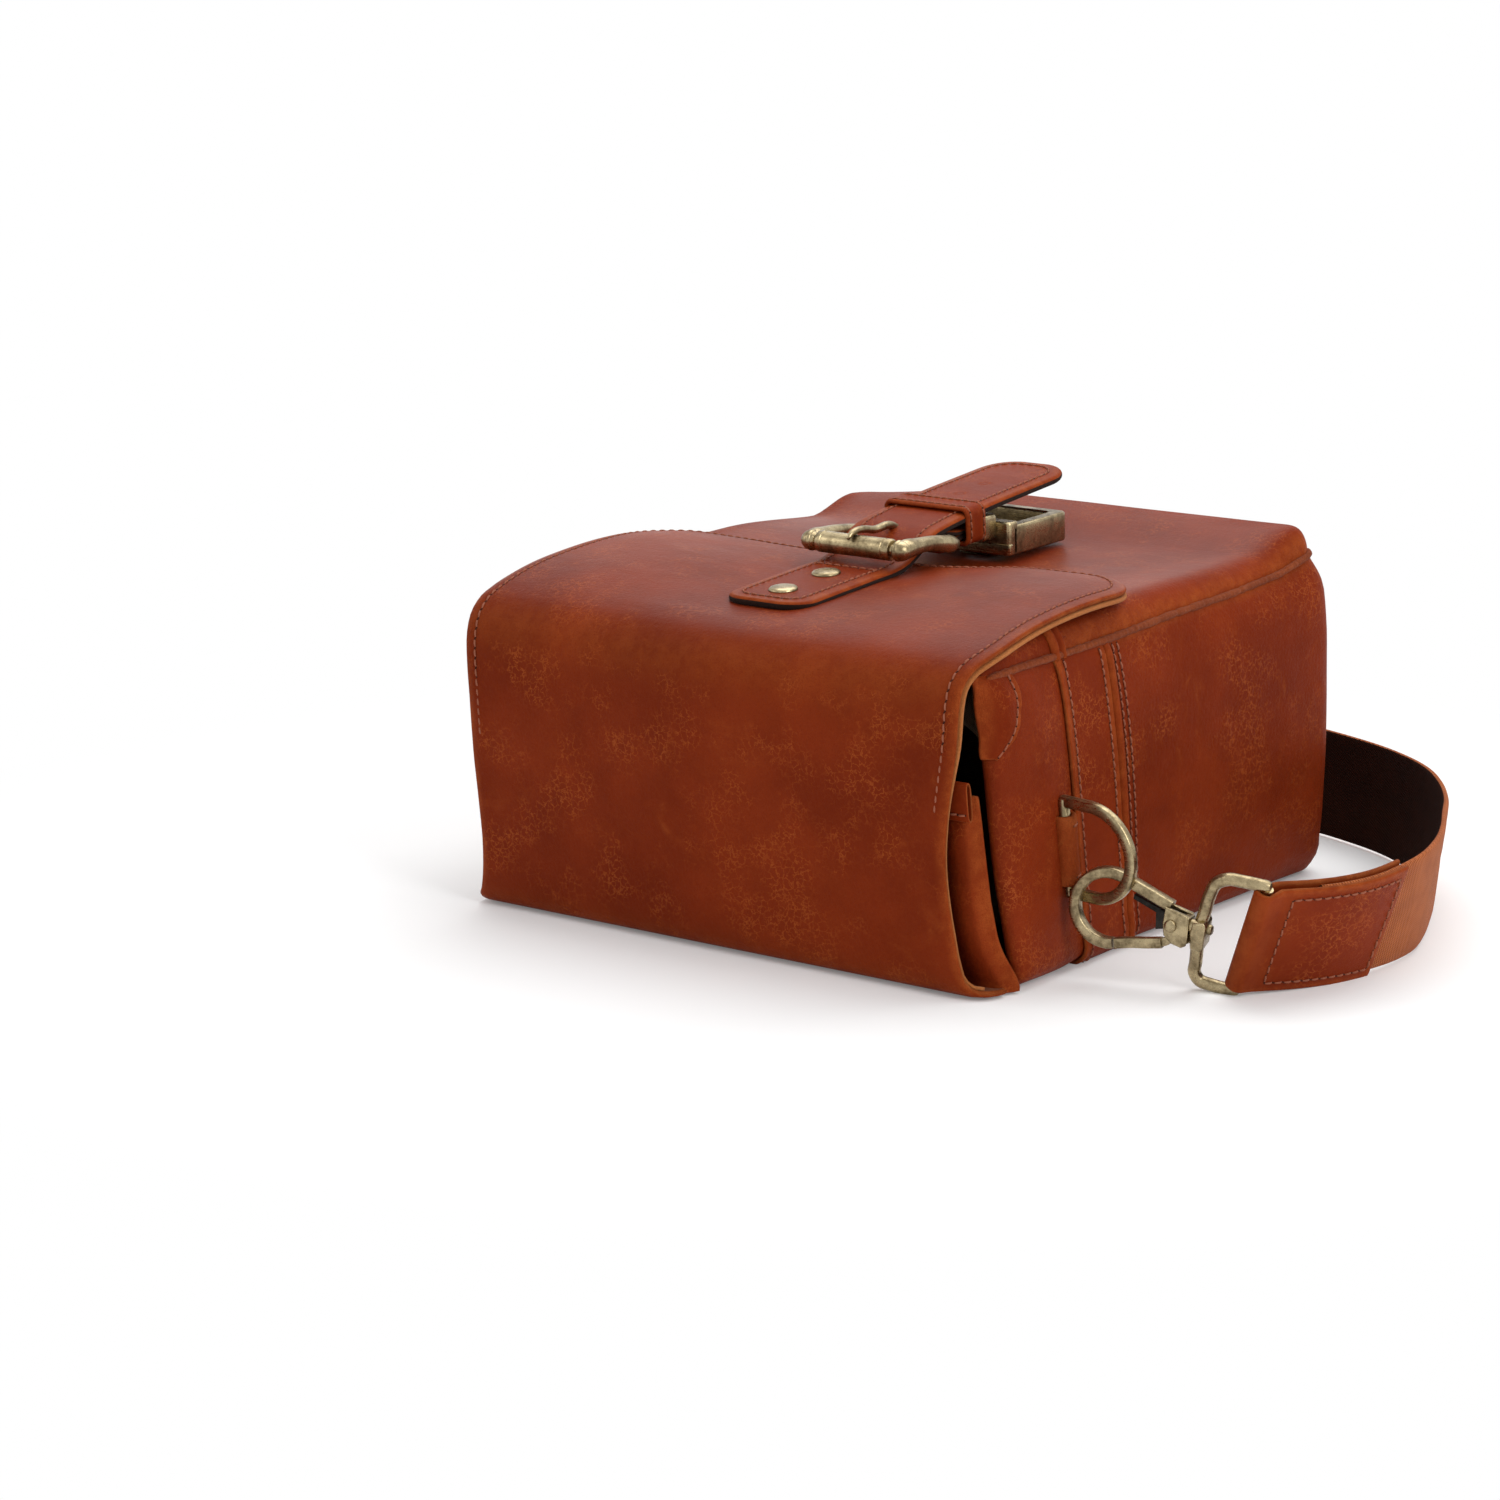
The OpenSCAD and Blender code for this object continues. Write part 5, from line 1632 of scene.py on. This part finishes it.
def keeper():
    """Loop of leather that holds the closing strap on the folded strap."""
    wide, low, high, deep = 2 * BILLET_HALF + 4.2, 1.0, 15.0, 10.0
    outline = rounded_box(-wide / 2, wide / 2, low, high, 3.2, 6)
    outline = np.concatenate([outline[-5:], outline[:-5]])
    sag = 0.5 * np.cos(np.pi * outline[:, 0] / wide) * (outline[:, 1] > 8)
    outline[:, 1] -= sag
    depth = np.array([0, 0.5, 1.2, 2.0, 2.8, 4, 6, 7.2, 8, 8.8, 9.5, 10])
    grid = np.array([[(x, KEEPER + d, z) for d in depth] for x, z in outline])
    n = normals_of(np.concatenate([grid[-2:], grid, grid[:2]]))[2:-2]
    centre = np.array([0, KEEPER + deep / 2, (low + high) / 2])
    flip = np.sign(np.sum(n * (grid - centre), -1).mean())
    n = n * flip
    thick = 1.6
    inner = grid - n * thick
    edge_a = (grid[:, 0] + inner[:, 0]) / 2 - [0, thick / 2, 0]
    edge_b = (grid[:, -1] + inner[:, -1]) / 2 + [0, thick / 2, 0]
    ring = np.concatenate([grid, edge_b[:, None], inner[:, ::-1], edge_a[:, None]], 1)
    rows, columns = ring.shape[:2]
    faces = grid_faces(rows + 1, columns, wrap=True)
    faces = [tuple(v % (rows * columns) for v in f) for f in faces]
    if flip < 0:
        faces = [tuple(reversed(f)) for f in faces]
    rim = np.tile(np.concatenate([np.minimum(depth, deep - depth), [0], np.full(len(depth), 3.0), [0]]), rows)
    verts = moved(fold_frame, ring.reshape(-1, 3))
    piece = make("keeper_hide", verts, faces, [finish["belt"]], rim=rim, pull=0 * rim, polish=0 * rim + 0.2)
    ride(piece, "flap_front", "leather", "keeper_loop")
    rows_of_thread = []
    m = np.array(fold_frame)[:3, :3]
    for k in (2, -3):
        line = np.concatenate([grid[:, k], grid[:1, k]])
        up = np.concatenate([n[:, k], n[:1, k]])
        rows_of_thread.append(stitch_row(moved(fold_frame, line), up @ m.T, pitch=3.0))
    ride(sew("keeper_stitches", rows_of_thread), "flap_front", "leather")


def chape():
    """Strap folded round the pin bar of the buckle and held in the bracket of the clip."""
    y0, z0 = PIN
    line = Curve([
        (143, 3.0), (134, 3.0), (127, 2.8), (121.5, 1.5), (y0, 1.0), (y0 - 2.7, 2.1), (y0 - 3.8, z0),
        (y0 - 2.7, 7.5), (y0, 8.6), (121.5, 8.1), (127, 6.9), (134, 6.6), (143, 6.6),
    ])
    s = np.linspace(0, line.length, 60)
    yz = line(s)
    x = np.concatenate([np.linspace(-14, -10, 6), np.linspace(-10, 10, 10)[1:-1], np.linspace(10, 14, 6)])
    grid = np.array([[(a, y, z) for a in x] for y, z in yz[:, :2]])
    grid = moved(fold_frame, grid)
    rim = np.broadcast_to(np.minimum(x + 14, 14 - x)[None], grid.shape[:2])
    piece = hide_sheet("chape_hide", grid, 1.75, BELT_FINISHES, rim=rim, middle=grid.mean((0, 1)))
    slot = cut_plate(rounded_box(-2.4, 2.4, y0 - 7, y0 + 7, 2.3), [], z0 - 7, z0 + 7, 0.05)
    punch(piece, [at(fold_frame, slot)])
    ride(piece, "flap_front", "leather", "chape_strap")


billet()
billet_stitches()
rivets()
keeper()
chape()


# Buckle and clip

FRAME_X = BILLET_HALF + 3.2


def buckle():
    parts = []
    for s in (-1, 1):
        arm = Curve([
            (ROLLER[0] - 0.5, ROLLER[1], 3.3), (ROLLER[0] + 3, ROLLER[1] + 0.2, 3.4),
            (ROLLER[0] + 7, ROLLER[1], 3.0), (ROLLER[0] + 15, ROLLER[1] - 0.7, 2.7),
            (ROLLER[0] + 23, ROLLER[1] - 2.4, 2.9), (PIN[0] + 0.5, PIN[1] + 0.1, 2.7),
            (PIN[0] + 2.4, PIN[1] - 0.2, 1.9),
        ])
        p = arm(np.linspace(0, arm.length, 36))
        bow = 0.7 * np.sin(np.pi * np.linspace(0, 1, 36))
        path = np.stack([s * (FRAME_X + bow - 0.4 * np.linspace(0, 1, 36)), p[:, 0], p[:, 1]], 1)
        parts.append(swept(path, round_section(1.0, 20), sizes=p[:, 2]))
        ball = [(3.5 * math.sin(a), max(3.5 * math.cos(a), 0.3)) for a in np.linspace(-1.5, 1.5, 15)]
        parts.append(at(place(s * FRAME_X, ROLLER[0], ROLLER[1]), turned(ball, 24)))
        cap = [(-0.4, 2.6), (-0.3, 3.3), (0.4, 3.7), (1.2, 3.7), (1.9, 3.3), (2.1, 2.6)]
        seat = place(s * FRAME_X - 0.85 * s - 0.85, ROLLER[0], ROLLER[1])
        parts.append(at(seat, turned([(x * 0.8, r) for x, r in cap], 24)))
    for (y, z), r in ((ROLLER, 2.0), (PIN, 1.9)):
        rod = [(0, r * 0.9), (0.3, r), (2 * FRAME_X - 0.3, r), (2 * FRAME_X, r * 0.9)]
        parts.append(at(place(-FRAME_X, y, z), turned(rod, 20)))
    verts, faces = joined(parts)
    piece = make("buckle_frame_brass", verts, faces, [finish["brass"]], matrix=fold_frame)
    ride(piece, "flap_front", "brass", "buckle_frame")


def roller():
    half, r = FRAME_X - 3.7, 3.8
    profile = [(-half, 2.5), (-half, 3.3), (-half + 0.5, r), (-half + 2.2, r)]
    profile += [(-half + 2.5, r - 0.35), (-half + 2.9, r - 0.35), (-half + 3.2, r), (0, r - 0.08)]
    profile += [(-x, y) for x, y in reversed(profile[:-1])]
    verts, faces = turned(profile, 36)
    seat = fold_frame @ place(0, *ROLLER)
    piece = make("roller_tube", verts, faces, [finish["brass"]], matrix=seat, sharp=45)
    ride(piece, "roller", "brass", "buckle_roller")


def prong():
    top = ROLLER[1] + 3.8
    line = Curve([
        (PIN[0] - 2.6, PIN[1] + 1.6), (112, 9.2), (108, 11.6), (98, 12.2), (92, top + 0.9),
        (ROLLER[0], top + 1.2),
        (ROLLER[0] - 2.6, top + 0.7), (ROLLER[0] - 4.4, top - 0.6),
    ])
    p = line(np.linspace(0, line.length, 40))
    sizes = np.interp(np.linspace(0, 1, 40), [0, 0.5, 0.9, 1], [1.5, 1.4, 1.2, 0.55])
    path = np.stack([0 * p[:, 0], p[:, 0], p[:, 1]], 1)
    bar = swept(path, round_section(1.0, 16), sizes=sizes)
    eye = [(-1.8, 2.25), (-1.8, 3.3), (-1.4, 3.7), (1.4, 3.7), (1.8, 3.3), (1.8, 2.25), (-1.8, 2.25)]
    ring = turned(eye, 28)
    ring = (ring[0], ring[1][2:] if len(ring[1][0]) > 4 else ring[1][:-2])
    verts, faces = joined([bar, at(place(0, *PIN), ring)])
    piece = make("prong_brass", verts, faces, [finish["brass"]], matrix=fold_frame)
    ride(piece, "prong", "brass", "buckle_prong")


CLIP_HALF, CLIP_LONG, CLIP_HIGH = 22.5, 37.0, 12.0


def clip():
    outline = rounded_box(-CLIP_HALF, CLIP_HALF, 0.2, CLIP_LONG, 3.2)
    window = rounded_box(5 - CLIP_HALF, CLIP_HALF - 5, 6.5, CLIP_LONG - 5, 2.0)[::-1]
    frame_part = cut_plate(outline, [window], 0, CLIP_HIGH - 1.5, 1.0)
    collar_part = cut_plate(rounded_box(-CLIP_HALF, CLIP_HALF, 0.0, 6.0, 1.6), [], 0, CLIP_HIGH, 0.9)
    lip = cut_plate(rounded_box(-CLIP_HALF - 0.3, CLIP_HALF + 0.3, -0.2, 2.4, 0.9), [], 1.2, 4.4, 0.6)
    verts, faces = joined([frame_part, collar_part, lip])
    piece = make("clip_frame_brass", verts, faces, [finish["brass"]], matrix=clip_frame, sharp=55)
    ride(piece, "flap_front", "brass", "clip_frame")
    arc = np.linspace(0, math.pi, 14)
    half_round = 6.5 * np.column_stack([np.cos(arc), np.sin(arc)])
    keyhole = np.concatenate([half_round + [0, 21], [0, 17] - half_round])[::-1]
    sheet = rounded_box(5.1 - CLIP_HALF, CLIP_HALF - 5.1, 6.6, CLIP_LONG - 5.1, 1.8)
    plate = cut_plate(sheet, [keyhole], 2.5, 4.0, 0.3)
    piece = make("clip_plate_brass", *plate, [finish["brass"]], matrix=clip_frame, sharp=55)
    ride(piece, "flap_front", "brass", "clip_plate")
    slot = rounded_box(-14.3, 14.3, 8.4, 13.4, 1.0)[::-1]
    upright = cut_plate(rounded_box(-17, 17, 5.8, 15.0, 1.6), [slot], 0.05, 7, 0.5)
    wall = cut_plate(rounded_box(-16.5, 16.5, 6.3, 14.5, 1.4), [], 0.05, 2.2, 0.4)
    verts, faces = joined([upright, wall])
    stand = clip_frame @ turn("X", 90)
    piece = make("clip_bracket_brass", verts, faces, [finish["brass"]], matrix=stand, sharp=55)
    ride(piece, "flap_front", "brass", "clip_bracket")


def stud():
    profile = [(0.02, 0.4), (0.02, 8.8), (0.5, 9.0), (1.0, 8.7), (1.1, 5.2), (1.4, 4.9)]
    profile += [(3.6, 4.9), (4.4, 4.7), (5.0, 4.0), (5.3, 2.5), (5.35, 0.4)]
    low, high = (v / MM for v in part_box("catch_stud"))
    centre = (low + high) / 2
    seat = place(centre.x, centre.y, low.z + 0.6) @ turn("X", BASE_SLANT) @ turn("Y", -90)
    verts, faces = turned(profile)
    piece = make("catch_stud_brass", verts, faces, [finish["brass"]], matrix=seat, sharp=50)
    ride(piece, "bag", "brass", "catch_stud")


buckle()
roller()
prong()
clip()
stud()


# Rings, hooks and wire loops on both sides

def ring_loop(matrix, word):
    """Leather tab round the bar of the ring, sewn to the side of the bag."""
    wall = HALF_WIDTH - BAR.x
    line = Curve([
        (wall + 1.9, 9.4), (wall + 2.0, 6.5), (wall + 2.6, 4.4), (-0.6, 3.85), (1.5, 3.65), (3.2, 2.3),
        (3.95, 0), (3.2, -2.3), (1.4, -3.7), (-0.8, -3.9), (-2.6, -3.0), (-3.4, -1.2),
    ])
    s = np.linspace(0, line.length, 44)
    xy = line(s)
    z = np.linspace(-10.6, 12, 22)
    grid = np.array([[(a, b, h) for h in z] for a, b in xy[:, :2]])
    grid = moved(matrix @ bar_frame, grid)
    rim = np.minimum(np.minimum(z + 10.6, 12 - z)[None], np.minimum(s, line.length - s)[:, None])
    grained = [finish["grained"], finish["flesh"], finish["cut_edge"]]
    piece = hide_sheet(f"ring_loop_{word}_hide", grid, 1.7, grained, rim=rim, middle=grid.mean((0, 1)))
    ride(piece, "bag", "leather", f"ring_loop_{word}")
    rows = []
    m = np.array(matrix @ bar_frame)[:3, :3]
    for h in (-8.2, 9.4):
        keep = slice(2, 26)
        p = np.array([(a, b, h) for a, b in xy[keep, :2]])
        t = unit(np.gradient(p, axis=0))
        up = np.cross(t, [0, 0, 1.0])
        up = up * np.sign(np.sum(up * (p - [-1.5, 0, h]), 1))[:, None]
        rows.append(stitch_row(moved(matrix @ bar_frame, p), up @ m.T, pitch=3.0))
    ride(sew(f"ring_loop_{word}_stitches", rows), "bag", "leather")


RING_INSIDE, RING_METAL = 27.6, 3.9
RING_MID = RING_INSIDE / 2 + RING_METAL / 2


def d_ring(matrix, word):
    arc = np.linspace(-90, 90, 40)
    path = [(-0.5, 0, -RING_MID), (5, 0, -RING_MID)]
    path += [(11 + RING_MID * math.cos(a), 0, RING_MID * math.sin(a)) for a in map(math.radians, arc)]
    path += [(5, 0, RING_MID), (-0.5, 0, RING_MID)]
    bow = swept(path, rounded_section(RING_METAL, 3.0, 0.9), side=(0, 1, 0))
    ends = [(RING_MID + 0.8, 1.9), (RING_MID + 1.2, 1.4)]
    bar = turned([(-x, r) for x, r in ends[::-1]] + ends, 20)
    verts, faces = joined([bow, at(turn("Y", -90), bar)])
    seat = matrix @ ring_frame
    piece = make(f"d_ring_{word}_brass", verts, faces, [finish["brass"]], matrix=seat, sharp=60)
    ride(piece, f"ring_{word}", "brass", f"d_ring_{word}")


HOOK_MID = 10 + 3.6 / 2
PIVOT = (22.4, -0.6)


def on_hook(angle):
    return np.array([HOOK_MID * math.cos(math.radians(angle)), HOOK_MID * math.sin(math.radians(angle)), 0])


def snap_hook(frame, word):
    """Hook with a slotted arm and two cheeks, its pin, its gate, and a spring leaf between the cheeks coloured
    near-black as painted shade of that hollow.
    """
    arc = [on_hook(a) for a in np.linspace(284, 62, 48)]
    slope = np.array([math.cos(math.radians(-19)), math.sin(math.radians(-19)), 0])
    arm = [arc[-1] + slope * d for d in (2.5, 6, 10, 14, 16.5)]
    sizes = np.r_[0.9, 0.97, np.ones(51)]
    parts = [swept(arc + arm, rounded_section(3.6, 4.4, 0.8), side=(0, 0, 1), sizes=sizes)]
    cheek = [(20.0, 5.2), (27.6, 3.6), (28.0, 2.4), (28.0, -6.4)]
    cheek += [(26.6, -7.2), (23.0, -6.4), (20.4, -4.2), (19.6, -0.4)]
    cheek = np.array(cheek)
    for low in (-3.4, 1.6):
        parts.append(cut_plate(cheek, [], low, low + 1.8, 0.4))
    parts.append(cut_plate(rounded_box(25.6, 28.4, -6.0, 3.2, 0.8), [], -3.2, 3.2, 0.5))
    parts.append(turned([(27.8, 2.4), (34.2, 2.4), (34.2, 1.7), (35.2, 1.7), (35.6, 1.2)], 24))
    piece = make(f"hook_{word}_brass", *joined(parts), [finish["brass"]], matrix=frame, sharp=60)
    ride(piece, f"snap_{word}", "brass", f"hook_{word}")
    # Leaf in the hollow between the cheeks, near-black: painted shade of the hollow where the gate's spring
    # sits.
    leaf = np.array([(8.4, 6.6), (19.9, 2.9), (19.9, -2.6), (16.9, -3.4), (16.4, 2.2), (8.2, 5.0)])
    spring_shade = cut_plate(leaf, [], -1.5, 1.5, 0.2)
    piece = make(f"spring_{word}_steel", *spring_shade, [finish["spring_shade"]], matrix=frame, sharp=50)
    ride(piece, f"snap_{word}", "brass")
    head = [(3.4, 2.1), (3.8, 2.1), (4.25, 1.8), (4.5, 1.0), (4.55, 0.2)]
    pin = turned([(-r, q) for r, q in head[::-1]] + head, 24)
    seat = frame @ place(*PIVOT, 0) @ turn("Y", -90)
    piece = make(f"hook_pin_{word}_brass", *pin, [finish["brass"]], matrix=seat, sharp=50)
    ride(piece, f"snap_{word}", "brass", f"hook_pin_{word}")
    tip = on_hook(284) + np.array([0.7, 0.1, 0])
    path = Curve([tip, (8, -10.1, 0), (14, -8.9, 0), (19.2, -7.7, 0)])
    lever = swept(path(np.linspace(0, path.length, 16)), rounded_section(3.5, 3.0, 0.5), side=(0, 0, 1))
    path = Curve([(18.6, -7.8, 0), (21.0, -6.6, 0), (22.2, -4.4, 0), (*PIVOT, 0)])
    foot = swept(path(np.linspace(0, path.length, 12)), rounded_section(2.8, 1.4, 0.3), side=(0, 0, 1))
    piece = make(f"gate_{word}_brass", *joined([lever, foot]), [finish["brass"]], matrix=frame, sharp=60)
    ride(piece, f"snap_gate_{word}", "brass", f"gate_{word}")


def wire_loop(frame, word):
    """Bent wire with a slanted bar for the strap, in a folded eye on the hook's post."""
    upper = Curve([(31.4, 1.5), (32.9, 6.6), (34.4, 13), (36.6, 18.2), (40.6, 20.8), (46, 21.2), (55, 21.2)])
    lower = Curve(
        [(30.6, -4), (30.3, -9), (29.9, -14), (29.5, -17.6), (31.2, -20.3), (35.4, -21.1), (44.6, -21)]
    )
    parts = []
    for line in (upper, lower):
        path = line(np.linspace(0, line.length, 34))[:, :2]
        path = np.column_stack([path, 0 * path[:, 0]])
        sizes = np.r_[np.ones(32), 0.96, 0.7]
        parts.append(swept(path, round_section(WIRE + 0.15, 16), sizes=sizes))
    bar = np.array([BAR_ENDS[0], BAR_ENDS[1]]) + np.array([[-0.3, -1.6, 0], [0.3, 1.6, 0]])
    parts.append(swept(np.linspace(bar[0], bar[1], 8), round_section(WIRE, 16), side=(0, 0, 1)))
    eye = [(30.0, 3.4), (33.6, 3.9), (34.4, 2.6), (33.4, -6.4), (32.2, -7.2), (29.0, -6.9), (28.8, -1)]
    parts.append(cut_plate(np.array(eye), [], -3.5, 3.5, 0.7))
    piece = make(f"wire_loop_{word}_brass", *joined(parts), [finish["brass"]], matrix=frame, sharp=60)
    ride(piece, "bag", "brass", f"wire_loop_{word}")


SIDES = (
    ("right", RIGHT, RIGHT, right_hook, right_loop),
    ("left", mirrored, on_left, left_hook, left_loop),
)
for word, sewn_at, ring_at, hook_at, loop_at in SIDES:
    ring_loop(sewn_at, word)
    d_ring(ring_at, word)
    snap_hook(hook_at, word)
    wire_loop(loop_at, word)


# Floor, light and background

def shown_white(tree):
    """One for the rays that show the background: those of the camera and mirror images."""
    path = node(tree, "LightPath").outputs
    mirror = maths(tree, "MAXIMUM", path["Is Glossy Ray"], path["Is Transmission Ray"])
    return maths(tree, "MAXIMUM", path["Is Camera Ray"], mirror)


def floor():
    mesh = bpy.data.meshes.new("floor")
    size, low = 6.0, -0.0004
    corners = [(-size, -size, low), (size, -size, low), (size, size, low), (-size, size, low)]
    mesh.from_pydata(corners, [], [(0, 1, 2, 3)])
    plane = bpy.data.objects.new("floor", mesh)
    bpy.context.scene.collection.objects.link(plane)
    material, tree, into = new_finish("pale_floor", Roughness=0.9, Specular_IOR_Level=0.1)
    where = node(tree, "TexCoord").outputs["Object"]
    speck = node(tree, "TexNoise", Vector=where, Scale=3.0, Detail=2.0)
    cloudy = ramp(tree, speck.outputs[0], 0.3, 0.7, 0, 1)
    pale = mixed(tree, cloudy, rgb(0.965, 0.965, 0.965), rgb(0.98, 0.98, 0.98))
    tree.links.new(pale, into["Base Color"])
    seen = shown_white(tree)
    away = node(tree, "VectorMath", operation="LENGTH", i0=where).outputs["Value"]
    share = maths(tree, "MULTIPLY", seen, ramp(tree, away, 0.15, 0.40, 0.14, 1))
    white = node(tree, "Emission", Color=rgb(1, 1, 1), Strength=1.0)
    lit = tree.nodes["Principled BSDF"].outputs[0]
    both = node(tree, "MixShader", Fac=share, i1=lit, i2=white.outputs[0])
    tree.links.new(both.outputs[0], tree.nodes["Material Output"].inputs["Surface"])
    mesh.materials.append(material)


def lamp(name, location, target, size, power, tint=(1, 1, 1)):
    data = bpy.data.lights.new(name, "AREA")
    data.shape = "RECTANGLE"
    data.size, data.size_y = size
    data.energy = power
    data.color = tint
    light = bpy.data.objects.new(name, data)
    light.location = location
    light.rotation_euler = (Vector(target) - Vector(location)).to_track_quat("-Z", "Y").to_euler()
    bpy.context.scene.collection.objects.link(light)


def light():
    world = bpy.data.worlds.new("studio")
    world.use_nodes = True
    tree = world.node_tree
    background = tree.nodes["Background"].inputs
    tree.links.new(ramp(tree, shown_white(tree), 0, 1, 0.45, 1.0), background["Strength"])
    background["Color"].default_value = rgb(1, 1, 1)
    bpy.context.scene.world = world
    lamp("overhead", (-0.05, 0.45, 1.25), (0, 0, 0.06), (1.5, 1.2), 14)
    lamp("right_key", (1.3, -0.35, 0.85), (0, 0, 0.05), (0.7, 0.9), 10)
    lamp("left_fill", (-1.2, -0.9, 0.8), (0, 0, 0.05), (0.9, 0.9), 4.5)


floor()
light()
bpy.context.scene.view_settings.view_transform = "Standard"
